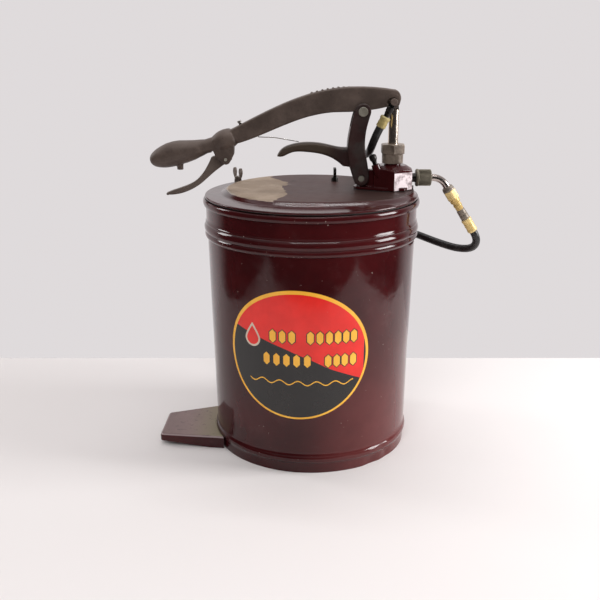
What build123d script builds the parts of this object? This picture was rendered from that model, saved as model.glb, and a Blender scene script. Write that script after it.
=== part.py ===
from build123d import *
import os
from math import atan2, cos, degrees, pi, radians, sin, sqrt, tan

# Hand-lever lubricant bucket pump. Millimetres, +Z up, origin on the floor at the
# pail's axis. The pump stands on the right of the cover (+X), the lever's grip and
# the footrest point left (-X), and the front is -Y.

# ---- driving dimensions ----------------------------------------------------------
# pail
SKIRT_R = 157.5
SKIRT_H = 16.0
NECK_R = 165.5
NECK_Z = 345.5
COLLAR_R = 167.2
COLLAR_Z = 373.0
RIM_Z = 397.2
RIM_TOP = 406.5
PAIL_SHEET = 1.2
BOTTOM_Z = 15.0

# cover
COVER_R = 168.4
COVER_Z = 411.7
COVER_EDGE = 3.2
COVER_SHEET = 1.5
PLATEAU_Z = 418.0
PLATEAU_MAIN = (0.0, 14.0, 132.5)
PLATEAU_PUMP = (50.0, 0.0, 112.0)
PLATEAU_SLOPE = 62.0

# pump
PUMP_X = 127.4
HEAD_BASE = 419.0
HEAD_FLAT = 30.0
HEAD_TOP = 456.0
FLANGE_T = 4.0
CHAMBER_R = 12.0
NECK_OUT_R = 13.0
PACKING_R = 11.0
ROD_R = 8.0
RUN = 0.06
SNUG = 0.02
CLEAR = 0.4
NUT_BASE = 459.0
NUT_HEX_Z = 474.0
NUT_TOP = 488.5
BARREL_R = 16.0
BORE_R = 13.0
PISTON_PLAY = 0.08
CUP_PLAY = 0.05
BARREL_TOP = 427.0
BARREL_FOOT = 42.0
OUTLET_Z = 435.5

# linkage
FULCRUM = (79.0, 538.5)
LINK_BASE = (78.0, 436.0)
ROD_PIN = (124.5, 554.0)
FULCRUM_PIN_R = 5.5
LINK_PIN_R = 5.0
ROD_PIN_R = 4.5
LEVER_HALF = 10.0
LINK_HALF = 15.5
LINK_SLOT = 10.4
LUG_HALF = 8.0
TANG_HALF = 3.5
TRIGGER_PIN = (-134.0, 465.0)

# hose
HOSE_R = 6.2
OUTLET_END = (217.6, 416.6)
HOSE_DROP = Vector(0.54, 0, -0.842).normalized()
NOZZLE_AXIS = Vector(-0.446, 0.102, -0.888).normalized()
NOZZLE_TOP = Vector(ROD_PIN[0], -23.0, ROD_PIN[1])
NOZZLE_LENGTH = 43.0
HOSE_FITTING_LENGTH = 80.0
FITTING_BORE_R = 2.6
COUPLING_FLAT = 9.1

os.makedirs("parts", exist_ok=True)


def write(built, label):
    """Labels a finished piece and writes it under its own name."""
    built.part.label = label
    export_step(built.part, f"parts/{label}.step")


def along(origin, axis, distance):
    """The point at a distance from an origin along an axis."""
    return origin + axis * distance


def across(centre, axis):
    """A plane through a point, square to an axis."""
    return Plane(origin=centre, z_dir=axis)


# ---- pail ------------------------------------------------------------------------
def pail_wall(inset):
    """The pail's wall from the floor to the collar, set in by `inset`, drawn upwards."""
    Line((SKIRT_R - inset, 0), (SKIRT_R - inset, SKIRT_H))
    ThreePointArc(
        (SKIRT_R - inset, SKIRT_H),
        (SKIRT_R + 3.4 - inset, SKIRT_H + 6.5),
        (SKIRT_R + 0.4 - inset, SKIRT_H + 13),
    )
    Line((SKIRT_R + 0.4 - inset, SKIRT_H + 13), (NECK_R - inset, NECK_Z))
    ThreePointArc(
        (NECK_R - inset, NECK_Z),
        (NECK_R + 4.2 - inset, NECK_Z + 5),
        (NECK_R + 2.5 - inset, NECK_Z + 10),
    )
    ThreePointArc(
        (NECK_R + 2.5 - inset, NECK_Z + 10),
        (NECK_R + 5.0 - inset, NECK_Z + 17),
        (NECK_R + 2.4 - inset, NECK_Z + 23.3),
    )
    ThreePointArc(
        (NECK_R + 2.4 - inset, NECK_Z + 23.3),
        (NECK_R + 3.0 - inset, NECK_Z + 25.3),
        (COLLAR_R - inset, COLLAR_Z),
    )
    Line((COLLAR_R - inset, COLLAR_Z), (COLLAR_R - inset, RIM_Z))


RIVET_AZIMUTHS = (172.0, 183.0, 194.0)
RIVET_Z = 5.5
RIVET_R = 2.4
RIVET_GAP = 0.25

with BuildPart() as can_body:
    with BuildSketch(Plane.XZ):
        with BuildLine():
            pail_wall(0)
            # the rim is rolled round a wire and reads as one thick bead
            ThreePointArc((COLLAR_R, RIM_Z), (COLLAR_R + 2.2, RIM_Z - 1), (171.0, RIM_Z + 1.2))
            ThreePointArc((171.0, RIM_Z + 1.2), (171.6, RIM_Z + 4.3), (170.9, RIM_TOP - 1.9))
            ThreePointArc((170.9, RIM_TOP - 1.9), (168.6, RIM_TOP), (166.0, RIM_TOP - 1.8))
            Line((166.0, RIM_TOP - 1.8), (COLLAR_R - PAIL_SHEET, RIM_Z))
            pail_wall(PAIL_SHEET)
            Line((SKIRT_R - PAIL_SHEET, 0), (SKIRT_R, 0))
        make_face()
    revolve(axis=Axis.Z)
    for azimuth in RIVET_AZIMUTHS:
        with Locations(Plane.XY.rotated((0, 0, azimuth))):
            with Locations(Location((SKIRT_R, 0, RIVET_Z), (0, 90, 0))):
                Cylinder(RIVET_R, 8, mode=Mode.SUBTRACT)
write(can_body, "can_body")

with BuildPart() as can_bottom:
    with BuildSketch(Plane.XZ):
        with BuildLine():
            Polyline(
                (0, BOTTOM_Z - 1.4),
                (SKIRT_R - PAIL_SHEET - 1.4, BOTTOM_Z - 1.4),
                (SKIRT_R - PAIL_SHEET - 1.4, BOTTOM_Z - 4),
                (SKIRT_R - PAIL_SHEET, BOTTOM_Z - 4),
                (SKIRT_R - PAIL_SHEET, BOTTOM_Z),
                (0, BOTTOM_Z),
                close=True,
            )
        make_face()
    revolve(axis=Axis.Z)
write(can_bottom, "can_bottom")

# ---- footrest: a stamped plate, open below, with a root strip against the skirt ----
FOOT_TOP = 20.0
FOOT_SHEET = 2.2
FOOT_TIP_NEAR = (-250.0, -61.0)
FOOT_TIP_FAR = (-247.0, 24.0)
FOOT_ROOT_FAR = (-130.0, 66.0)
FOOT_ROOT_NEAR = (-130.0, -76.0)
FOOT_LIFT = 9.0
FOOT_BEND_X = -166.0
STRIP_SPAN = 34.0

with BuildPart() as footrest:
    with BuildSketch():
        with BuildLine():
            Polyline(FOOT_TIP_NEAR, FOOT_TIP_FAR, FOOT_ROOT_FAR, FOOT_ROOT_NEAR, close=True)
        make_face()
    extrude(amount=FOOT_TOP)
    tip_edges = footrest.edges().filter_by(Axis.Z).sort_by(Axis.X)[:2]
    fillet(tip_edges, radius=7)
    fillet(footrest.faces().sort_by(Axis.Z)[-1].edges(), radius=4.5)
    offset(amount=-FOOT_SHEET, openings=footrest.faces().sort_by(Axis.Z)[0])
    with BuildSketch(Plane.XZ):
        with BuildLine():
            Polyline(
                (FOOT_BEND_X, -1),
                (FOOT_TIP_NEAR[0] - 5, -1),
                (FOOT_TIP_NEAR[0] - 5, FOOT_LIFT),
                (FOOT_BEND_X, 0),
                close=True,
            )
        make_face()
    extrude(amount=120, both=True, mode=Mode.SUBTRACT)
    Cylinder(
        SKIRT_R + 3.7,
        60,
        align=(Align.CENTER, Align.CENTER, Align.CENTER),
        mode=Mode.SUBTRACT,
    )
    with BuildSketch():
        with BuildLine():
            half = STRIP_SPAN / 2
            inner = CenterArc((0, 0), SKIRT_R, 183 - half, STRIP_SPAN)
            outer = CenterArc((0, 0), SKIRT_R + 4.2, 183 - half, STRIP_SPAN)
            Line(inner @ 0, outer @ 0)
            Line(inner @ 1, outer @ 1)
        make_face()
    extrude(amount=12)
    for azimuth in RIVET_AZIMUTHS:
        with Locations(Plane.XY.rotated((0, 0, azimuth))):
            with Locations(Location((SKIRT_R + 3, 0, RIVET_Z), (0, 90, 0))):
                Cylinder(RIVET_R, 12, mode=Mode.SUBTRACT)
write(footrest, "footrest")

with BuildPart() as footrest_rivets:
    for azimuth in RIVET_AZIMUTHS:
        with BuildSketch(Plane.XY.rotated((0, 0, azimuth)).offset(RIVET_Z)):
            with BuildLine():
                inside = SKIRT_R - PAIL_SHEET
                outside = SKIRT_R + 4.2
                seat = inside - RIVET_GAP
                Polyline(
                    (inside - 2.2, 0),
                    (inside - 2.2, 2.6),
                    (seat, 4.2),
                    (seat, RIVET_R),
                    (outside + 0.1, RIVET_R),
                    (outside + 0.1, 4.2),
                    (outside + 2.4, 2.6),
                    (outside + 2.4, 0),
                    close=True,
                )
            make_face()
        revolve(axis=Axis((0, 0, RIVET_Z), (cos(radians(azimuth)), sin(radians(azimuth)), 0)))
write(footrest_rivets, "footrest_rivets")

# ---- cover stud on its bracket inside the rim --------------------------------------
STUD_AZIMUTH = 140.7
STUD_REACH = 159.5
STUD_R = 3.0
BRACKET_Z = 386.0
BRACKET_T = 3.0
STUD_TOP = 423.0
stud_plane = Plane.XY.rotated((0, 0, STUD_AZIMUTH))

with BuildPart() as stud_bracket:
    with BuildSketch(stud_plane.offset(BRACKET_Z - BRACKET_T)):
        with Locations((STUD_REACH, 0)):
            Rectangle(18, 20)
    extrude(amount=BRACKET_T)
    with BuildSketch(stud_plane.offset(BRACKET_Z - 18)):
        with Locations((COLLAR_R - PAIL_SHEET - 1.0, 0)):
            Rectangle(2.4, 20)
    extrude(amount=18)
    with BuildSketch(Plane.XY.offset(BRACKET_Z - 20)):
        Circle(COLLAR_R - PAIL_SHEET - SNUG)
    extrude(amount=24, mode=Mode.INTERSECT)
    with BuildSketch(stud_plane.offset(BRACKET_Z - 20)):
        with Locations((STUD_REACH, 0)):
            Circle(STUD_R)
    extrude(amount=24, mode=Mode.SUBTRACT)
write(stud_bracket, "stud_bracket")

with BuildPart() as cover_stud:
    with BuildSketch(stud_plane.offset(BRACKET_Z - 7)):
        with Locations((STUD_REACH, 0)):
            Circle(4.2)
    extrude(amount=4)
    with BuildSketch(stud_plane.offset(BRACKET_Z - BRACKET_T)):
        with Locations((STUD_REACH, 0)):
            Circle(STUD_R)
    extrude(amount=STUD_TOP - BRACKET_Z + BRACKET_T)
    chamfer(cover_stud.faces().sort_by(Axis.Z)[-1].edges(), length=0.7)
write(cover_stud, "cover_stud")

# ---- cover -------------------------------------------------------------------------
VENT_AT = (40.0, 73.0)
VENT_BORE_R = 3.06
SCREW_CIRCLE = 26.0
SCREW_AZIMUTHS = (30.0, 150.0, 210.0, 330.0)
SCREW_R = 3.0


def plateau(lowered):
    """Solid of the raised plateau, its faces lowered for the underside of the sheet."""
    with BuildPart() as raised:
        with BuildSketch(Plane.XY.offset(PLATEAU_Z - lowered)):
            with Locations((PLATEAU_MAIN[0], PLATEAU_MAIN[1])):
                Circle(PLATEAU_MAIN[2])
            with Locations((PLATEAU_PUMP[0], PLATEAU_PUMP[1])):
                Circle(PLATEAU_PUMP[2])
            make_hull()
        extrude(amount=-(PLATEAU_Z - COVER_Z), taper=-PLATEAU_SLOPE)
        with BuildSketch(Plane.XY.offset(COVER_Z - 10)):
            Circle(COVER_R - 2.6)
        extrude(amount=30, mode=Mode.INTERSECT)
    return raised.part


def pump_bolt_circle():
    """Places the four screws that hold the pump head."""
    return [
        Location((SCREW_CIRCLE * cos(radians(a)) + PUMP_X, SCREW_CIRCLE * sin(radians(a)), 0))
        for a in SCREW_AZIMUTHS
    ]


with BuildPart() as cover:
    with BuildSketch(Plane.XY.offset(COVER_Z - COVER_EDGE)):
        Circle(COVER_R)
    extrude(amount=COVER_EDGE)
    fillet(cover.edges().sort_by(Axis.Z)[-1], radius=1.6)
    add(plateau(0))
    with BuildSketch(Plane.XY.offset(COVER_Z - COVER_EDGE)):
        Circle(COVER_R - 1.6)
    extrude(amount=COVER_EDGE - COVER_SHEET, mode=Mode.SUBTRACT)
    add(plateau(COVER_SHEET), mode=Mode.SUBTRACT)
    with BuildSketch(Plane.XY.offset(PLATEAU_Z - 20)):
        with Locations((PUMP_X, 0)):
            Circle(BARREL_R + 1)
        with Locations(VENT_AT):
            Circle(4.5)
        with Locations(pump_bolt_circle()):
            Circle(SCREW_R + 0.2)
    extrude(amount=30, mode=Mode.SUBTRACT)
    with BuildSketch(stud_plane.offset(PLATEAU_Z - 20)):
        with Locations((STUD_REACH, 0)):
            Circle(STUD_R + 0.6)
    extrude(amount=30, mode=Mode.SUBTRACT)
write(cover, "cover")

with BuildPart() as cover_gasket:
    with BuildSketch(Plane.XY.offset(RIM_TOP + 0.3)):
        Circle(COVER_R - 1.9)
        Circle(163.4, mode=Mode.SUBTRACT)
    extrude(amount=COVER_Z - COVER_SHEET - RIM_TOP - 0.3)
write(cover_gasket, "cover_gasket")

NUT_SEAT = COVER_Z + 0.6

with BuildPart() as stud_washer:
    with BuildSketch(stud_plane.offset(COVER_Z)):
        with Locations((STUD_REACH, 0)):
            Circle(6.4)
            Circle(STUD_R + 0.5, mode=Mode.SUBTRACT)
    extrude(amount=NUT_SEAT - COVER_Z)
write(stud_washer, "stud_washer")

WING_TURN = 55.0
with BuildPart() as wing_nut:
    ear_plane = Plane(
        origin=(
            STUD_REACH * cos(radians(STUD_AZIMUTH)),
            STUD_REACH * sin(radians(STUD_AZIMUTH)),
            NUT_SEAT,
        ),
        x_dir=(cos(radians(WING_TURN)), -sin(radians(WING_TURN)), 0),
        z_dir=(-sin(radians(WING_TURN)), -cos(radians(WING_TURN)), 0),
    )
    with BuildSketch(ear_plane):
        with BuildLine():
            Polyline((0, 0), (6.2, 0), (6.2, 3), (5.2, 9), (0, 9), close=True)
        make_face()
    revolve(axis=Axis(ear_plane.origin, (0, 0, 1)))
    with BuildSketch(ear_plane):
        for side in (-1, 1):
            with BuildLine():
                Spline(
                    (side * 3, 3),
                    (side * 6.5, 12),
                    (side * 6.0, 20),
                    (side * 9.0, 24),
                    (side * 12.5, 20),
                    (side * 11.0, 11),
                    (side * 5, 2),
                )
                Line((side * 5, 2), (side * 3, 3))
            make_face()
    extrude(amount=1.9, both=True)
    with Locations(Location(ear_plane.origin)):
        Cylinder(
            STUD_R + CLEAR,
            60,
            mode=Mode.SUBTRACT,
        )
write(wing_nut, "wing_nut")

with BuildPart() as vent_collar:
    with BuildSketch(Plane.XY.offset(PLATEAU_Z)):
        with Locations(VENT_AT):
            Circle(5.6)
    extrude(amount=6.5)
    fillet(vent_collar.faces().sort_by(Axis.Z)[-1].edges(), radius=1.2)
    with BuildSketch(Plane.XY.offset(PLATEAU_Z - 6)):
        with Locations(VENT_AT):
            Circle(4.4)
    extrude(amount=6)
    with BuildSketch(Plane.XY.offset(PLATEAU_Z - 8)):
        with Locations(VENT_AT):
            Circle(VENT_BORE_R)
    extrude(amount=16, mode=Mode.SUBTRACT)
write(vent_collar, "vent_collar")

with BuildPart() as vent_screw:
    with BuildSketch(Plane.XY.offset(PLATEAU_Z - 7)):
        with Locations(VENT_AT):
            Circle(VENT_BORE_R - RUN)
    extrude(amount=16)
    vent_front = Plane(origin=(VENT_AT[0], VENT_AT[1], PLATEAU_Z + 6.8), x_dir=(0, 1, 0), z_dir=(1, 0, 0))
    with BuildSketch(vent_front):
        with BuildLine():
            Spline((-3.4, 0), (-9.5, 8), (-7.5, 15), (0, 13.5), (7.5, 15), (9.5, 8), (3.4, 0))
            Line((3.4, 0), (-3.4, 0))
        make_face()
    extrude(amount=2.2, both=True)
write(vent_screw, "vent_screw")

# ---- pump head ---------------------------------------------------------------------
HEAD_CHAMFER_Z = 447.5
PORT_R = 3.0
CHECK_BORE_R = 5.0
CHECK_SEAT_X = 144.0
NIPPLE_R = 7.0
NIPPLE_START = 151.0
LUG_R = 11.0
LUG_TOE = 6.0
BLEED_AT = (106.0, -16.0)


def head_outline():
    """Footprint of the head's flange, running out under the link's lug."""
    with Locations((PUMP_X, 0)):
        RegularPolygon(HEAD_FLAT, 6, major_radius=False, rotation=0)
    with Locations((LINK_BASE[0] + 4, 0)):
        Circle(15)
    make_hull()


with BuildPart() as pump_head:
    with BuildSketch(Plane.XY.offset(HEAD_BASE)):
        head_outline()
    extrude(amount=FLANGE_T)
    # faceted block with a nut-like chamfered top
    with BuildSketch(Plane.XY.offset(HEAD_BASE)):
        with Locations((PUMP_X, 0)):
            RegularPolygon(HEAD_FLAT, 6, major_radius=False, rotation=30)
    extrude(amount=HEAD_TOP - HEAD_BASE)
    with BuildSketch(Plane.XZ):
        with BuildLine():
            Polyline(
                (PUMP_X + 22, HEAD_TOP),
                (PUMP_X + 22 + 16, HEAD_TOP),
                (PUMP_X + 22 + 16, HEAD_CHAMFER_Z),
                (PUMP_X + 36, HEAD_CHAMFER_Z),
                close=True,
            )
        make_face()
    revolve(axis=Axis((PUMP_X, 0, 0), (0, 0, 1)), mode=Mode.SUBTRACT)
    # neck for the packing nut
    with BuildSketch(Plane.XY.offset(HEAD_TOP)):
        with Locations((PUMP_X, 0)):
            Circle(NECK_OUT_R)
    extrude(amount=19)
    # lug that carries the link
    with BuildSketch(Plane.XZ):
        with Locations(LINK_BASE):
            Circle(LUG_R)
        with BuildLine():
            Polyline(
                (LINK_BASE[0], LINK_BASE[1] + LUG_R),
                (PUMP_X - 20, LINK_BASE[1] + 14),
                (PUMP_X - 20, HEAD_BASE),
                (LINK_BASE[0] + 4, HEAD_BASE),
                (LINK_BASE[0] - LUG_TOE, LINK_BASE[1] - sqrt(LUG_R**2 - LUG_TOE**2)),
                close=True,
            )
        make_face()
    extrude(amount=LUG_HALF, both=True)
    # boss for the bleed plug on the left shoulder
    with Locations(Location((BLEED_AT[0], BLEED_AT[1], HEAD_CHAMFER_Z - 8), (0, -20, 0))):
        Cylinder(6.5, 20, align=(Align.CENTER, Align.CENTER, Align.MIN))
    # bores: chamber and barrel seat, rod hole, packing chamber
    with BuildSketch(Plane.XZ):
        with BuildLine():
            Polyline(
                (PUMP_X, HEAD_BASE - 1),
                (PUMP_X + BARREL_R, HEAD_BASE - 1),
                (PUMP_X + BARREL_R, BARREL_TOP),
                (PUMP_X + CHAMBER_R, BARREL_TOP),
                (PUMP_X + CHAMBER_R, 448),
                (PUMP_X + ROD_R + CLEAR, 452),
                (PUMP_X + ROD_R + CLEAR, HEAD_TOP),
                (PUMP_X + PACKING_R, HEAD_TOP),
                (PUMP_X + PACKING_R, HEAD_TOP + 20),
                (PUMP_X, HEAD_TOP + 20),
                close=True,
            )
        make_face()
    revolve(axis=Axis((PUMP_X, 0, 0), (0, 0, 1)), mode=Mode.SUBTRACT)
    # outlet port, check valve seat and nipple thread
    with BuildSketch(Plane.YZ.offset(PUMP_X)):
        with Locations((0, OUTLET_Z)):
            Circle(PORT_R)
    extrude(amount=CHECK_SEAT_X - PUMP_X + 1, mode=Mode.SUBTRACT)
    with BuildSketch(Plane.YZ.offset(CHECK_SEAT_X)):
        with Locations((0, OUTLET_Z)):
            Circle(CHECK_BORE_R)
    extrude(amount=20, mode=Mode.SUBTRACT)
    with BuildSketch(Plane.YZ.offset(NIPPLE_START)):
        with Locations((0, OUTLET_Z)):
            Circle(NIPPLE_R)
    extrude(amount=20, mode=Mode.SUBTRACT)
    # link pin, bleed plug and screw holes
    with BuildSketch(Plane.XZ):
        with Locations(LINK_BASE):
            Circle(LINK_PIN_R)
    extrude(amount=40, both=True, mode=Mode.SUBTRACT)
    with Locations(Location((BLEED_AT[0], BLEED_AT[1], HEAD_CHAMFER_Z - 8), (0, -20, 0))):
        with Locations((0, 0, 10)):
            Cylinder(3.5, 20, align=(Align.CENTER, Align.CENTER, Align.MIN), mode=Mode.SUBTRACT)
    with BuildSketch(Plane.XY.offset(HEAD_BASE - 1)):
        with Locations(pump_bolt_circle()):
            Circle(SCREW_R)
    extrude(amount=13, mode=Mode.SUBTRACT)
write(pump_head, "pump_head")

with BuildPart() as bleed_plug:
    with Locations(Location((BLEED_AT[0], BLEED_AT[1], HEAD_CHAMFER_Z - 8), (0, -20, 0))):
        with Locations((0, 0, 10)):
            Cylinder(3.5, 12, align=(Align.CENTER, Align.CENTER, Align.MIN))
        with Locations((0, 0, 20.2)):
            Cylinder(5.6, 3.6, align=(Align.CENTER, Align.CENTER, Align.MIN))
    fillet(bleed_plug.faces().sort_by(Axis.Z)[-1].edges(), radius=1.2)
write(bleed_plug, "bleed_plug")

with BuildPart() as head_gasket:
    with BuildSketch(Plane.XY.offset(PLATEAU_Z)):
        head_outline()
        with Locations((PUMP_X, 0)):
            Circle(BARREL_R + 1, mode=Mode.SUBTRACT)
        with Locations(pump_bolt_circle()):
            Circle(SCREW_R + 0.2, mode=Mode.SUBTRACT)
    extrude(amount=HEAD_BASE - PLATEAU_Z)
write(head_gasket, "head_gasket")

PLATE_T = 3.0
PLATE_TOP = PLATEAU_Z - COVER_SHEET
with BuildPart() as head_backing_plate:
    with BuildSketch(Plane.XY.offset(PLATE_TOP - PLATE_T)):
        with Locations((PUMP_X, 0)):
            Circle(33)
            Circle(BARREL_R + 1, mode=Mode.SUBTRACT)
        with Locations(pump_bolt_circle()):
            Circle(SCREW_R + 0.2, mode=Mode.SUBTRACT)
    extrude(amount=PLATE_T)
write(head_backing_plate, "head_backing_plate")

with BuildPart() as head_screws:
    for place in pump_bolt_circle():
        with BuildSketch(Plane.XY.offset(PLATE_TOP - PLATE_T - 4)):
            with Locations(place):
                RegularPolygon(5.0, 6, major_radius=False)
        extrude(amount=4)
        with BuildSketch(Plane.XY.offset(PLATE_TOP - PLATE_T)):
            with Locations(place):
                Circle(SCREW_R)
        extrude(amount=HEAD_BASE + 10 - PLATE_TOP + PLATE_T)
write(head_screws, "head_screws")

# ---- barrel, foot valve and strainer -------------------------------------------------
VALVE_HOUSING_R = 19.0
BALL_R = 6.0
STRAINER_FOOT = 20.0

with BuildPart() as pump_barrel:
    with BuildSketch(Plane.XY.offset(BARREL_FOOT)):
        with Locations((PUMP_X, 0)):
            Circle(BARREL_R)
            Circle(BORE_R, mode=Mode.SUBTRACT)
    extrude(amount=BARREL_TOP - BARREL_FOOT)
write(pump_barrel, "pump_barrel")

with BuildPart() as foot_valve:
    with BuildSketch(Plane.XZ):
        with BuildLine():
            Polyline(
                (PUMP_X + 4.5, 32),
                (PUMP_X + VALVE_HOUSING_R - 2, 32),
                (PUMP_X + VALVE_HOUSING_R, 34),
                (PUMP_X + VALVE_HOUSING_R, 60),
                (PUMP_X + BARREL_R, 60),
                (PUMP_X + BARREL_R, BARREL_FOOT),
                (PUMP_X + 8, BARREL_FOOT),
                (PUMP_X + 4.5, BARREL_FOOT - 3),
                close=True,
            )
        make_face()
    revolve(axis=Axis((PUMP_X, 0, 0), (0, 0, 1)))
write(foot_valve, "foot_valve")


def ball(centre, radius, label):
    """A valve ball, written under its own name."""
    with BuildPart() as valve_ball:
        with Locations(centre):
            Sphere(radius)
    write(valve_ball, label)


ball((PUMP_X, 0, BARREL_FOOT + 2.6), BALL_R, "foot_valve_ball")

with BuildPart() as foot_valve_pin:
    with BuildSketch(Plane.YZ.offset(PUMP_X)):
        with Locations((0, 54.5)):
            Circle(1.5)
    extrude(amount=BORE_R, both=True)
    with BuildSketch(Plane.XY.offset(40)):
        with Locations((PUMP_X, 0)):
            Circle(BORE_R)
    extrude(amount=40, mode=Mode.INTERSECT)
write(foot_valve_pin, "foot_valve_pin")

with BuildPart() as strainer:
    with BuildSketch(Plane.XZ):
        with BuildLine():
            Polyline(
                (PUMP_X, STRAINER_FOOT),
                (PUMP_X + 17, STRAINER_FOOT),
                (PUMP_X + VALVE_HOUSING_R + 1.2, STRAINER_FOOT + 3),
                (PUMP_X + VALVE_HOUSING_R + 1.2, 46),
                (PUMP_X + VALVE_HOUSING_R, 46),
                (PUMP_X + VALVE_HOUSING_R, STRAINER_FOOT + 3.6),
                (PUMP_X + 16.5, STRAINER_FOOT + 1.2),
                (PUMP_X, STRAINER_FOOT + 1.2),
                close=True,
            )
        make_face()
    revolve(axis=Axis((PUMP_X, 0, 0), (0, 0, 1)))
    with Locations((PUMP_X, 0, 27.5)):
        with PolarLocations(0, 4, angular_range=180):
            Box(60, 3, 5, mode=Mode.SUBTRACT)
write(strainer, "strainer")

# ---- packing ------------------------------------------------------------------------
with BuildPart() as packing_rings:
    for step in range(3):
        with BuildSketch(Plane.XY.offset(HEAD_TOP + 4.2 * step)):
            with Locations((PUMP_X, 0)):
                Circle(PACKING_R)
                Circle(ROD_R + RUN, mode=Mode.SUBTRACT)
        extrude(amount=4)
write(packing_rings, "packing_rings")

GLAND_FOOT = HEAD_TOP + 12.4
GLAND_TOP = 478.0
with BuildPart() as packing_gland:
    with BuildSketch(Plane.XY.offset(GLAND_FOOT)):
        with Locations((PUMP_X, 0)):
            Circle(PACKING_R)
            Circle(ROD_R + RUN, mode=Mode.SUBTRACT)
    extrude(amount=GLAND_TOP - GLAND_FOOT)
write(packing_gland, "packing_gland")

with BuildPart() as packing_nut:
    with BuildSketch(Plane.XY.offset(NUT_HEX_Z)):
        with Locations((PUMP_X, 0)):
            RegularPolygon(17.5, 6, major_radius=False, rotation=30)
    extrude(amount=NUT_TOP - NUT_HEX_Z)
    with BuildSketch(Plane.XZ):
        with BuildLine():
            Polyline(
                (PUMP_X + 17.2, NUT_TOP),
                (PUMP_X + 24, NUT_TOP),
                (PUMP_X + 24, NUT_TOP - 3.2),
                close=True,
            )
            Polyline(
                (PUMP_X + 17.2, NUT_HEX_Z),
                (PUMP_X + 24, NUT_HEX_Z),
                (PUMP_X + 24, NUT_HEX_Z + 3.2),
                close=True,
            )
        make_face()
    revolve(axis=Axis((PUMP_X, 0, 0), (0, 0, 1)), mode=Mode.SUBTRACT)
    with BuildSketch(Plane.XZ):
        with BuildLine():
            Polyline(
                (PUMP_X + NECK_OUT_R, NUT_BASE),
                (PUMP_X + 16.6, NUT_BASE),
                (PUMP_X + 16.6, NUT_HEX_Z),
                (PUMP_X + NECK_OUT_R, NUT_HEX_Z),
                close=True,
            )
        make_face()
    revolve(axis=Axis((PUMP_X, 0, 0), (0, 0, 1)))
    with BuildSketch(Plane.XZ):
        with BuildLine():
            Polyline(
                (PUMP_X, NUT_BASE - 1),
                (PUMP_X + NECK_OUT_R, NUT_BASE - 1),
                (PUMP_X + NECK_OUT_R, GLAND_TOP),
                (PUMP_X + ROD_R + CLEAR, GLAND_TOP),
                (PUMP_X + ROD_R + CLEAR, NUT_TOP + 1),
                (PUMP_X, NUT_TOP + 1),
                close=True,
            )
        make_face()
    revolve(axis=Axis((PUMP_X, 0, 0), (0, 0, 1)), mode=Mode.SUBTRACT)
write(packing_nut, "packing_nut")

# ---- outlet: check valve, nipple, union nut, elbow -----------------------------------
CHECK_BALL_R = 4.0
CHECK_BALL_X = CHECK_SEAT_X + 2.75
ball((CHECK_BALL_X, 0, OUTLET_Z), CHECK_BALL_R, "check_valve_ball")

SPRING_FROM = CHECK_BALL_X + CHECK_BALL_R + 0.5
SPRING_TO = 160.5
SPRING_WIRE_R = 0.35
with BuildPart() as check_valve_spring:
    with BuildLine():
        coil = Helix(
            pitch=2.2,
            height=SPRING_TO - SPRING_FROM - 0.8,
            radius=3.0,
            center=(SPRING_FROM + 0.4, 0, OUTLET_Z),
            direction=(1, 0, 0),
        )
    with BuildSketch(Plane(origin=coil @ 0, z_dir=coil % 0)):
        Circle(SPRING_WIRE_R)
    sweep(path=coil)
write(check_valve_spring, "check_valve_spring")

OUTLET_NUT_START = 164.7
OUTLET_NUT_BODY = 169.2
OUTLET_NUT_END = 189.1
with BuildPart() as outlet_nipple:
    with BuildSketch(Plane.XZ):
        with BuildLine():
            Polyline(
                (NIPPLE_START, OUTLET_Z + 4.4),
                (NIPPLE_START, OUTLET_Z + NIPPLE_R),
                (184, OUTLET_Z + NIPPLE_R),
                (184, OUTLET_Z + 2.4),
                (SPRING_TO, OUTLET_Z + 2.4),
                (SPRING_TO, OUTLET_Z + 4.4),
                close=True,
            )
        make_face()
    revolve(axis=Axis((0, 0, OUTLET_Z), (1, 0, 0)))
write(outlet_nipple, "outlet_nipple")

ELBOW_R = 5.6
with BuildPart() as outlet_nut:
    with BuildSketch(Plane.XZ):
        with BuildLine():
            Polyline(
                (OUTLET_NUT_START, OUTLET_Z + NIPPLE_R),
                (OUTLET_NUT_START, OUTLET_Z + 12.6),
                (OUTLET_NUT_START + 1, OUTLET_Z + 13.6),
                (OUTLET_NUT_BODY - 0.6, OUTLET_Z + 13.6),
                (OUTLET_NUT_BODY, OUTLET_Z + 12.4),
                (OUTLET_NUT_END - 1, OUTLET_Z + 12.4),
                (OUTLET_NUT_END, OUTLET_Z + 11.4),
                (OUTLET_NUT_END, OUTLET_Z + ELBOW_R),
                (184, OUTLET_Z + ELBOW_R),
                (184, OUTLET_Z + NIPPLE_R),
                close=True,
            )
        make_face()
    revolve(axis=Axis((0, 0, OUTLET_Z), (1, 0, 0)))
write(outlet_nut, "outlet_nut")

ELBOW_BEND_R = 25.0
drop_angle = atan2(-HOSE_DROP.Z, HOSE_DROP.X)
elbow_corner_x = OUTLET_END[0] - (OUTLET_Z - OUTLET_END[1]) / tan(drop_angle)
outlet_end = Vector(OUTLET_END[0], 0, OUTLET_END[1])
with BuildPart() as outlet_elbow:
    with BuildLine():
        FilletPolyline(
            (184, 0, OUTLET_Z),
            (elbow_corner_x, 0, OUTLET_Z),
            outlet_end,
            radius=ELBOW_BEND_R,
        )
    with BuildSketch(Plane.YZ.offset(184)):
        with Locations((0, OUTLET_Z)):
            Circle(ELBOW_R)
            Circle(ELBOW_R - 1.6, mode=Mode.SUBTRACT)
    sweep()
write(outlet_elbow, "outlet_elbow")


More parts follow.
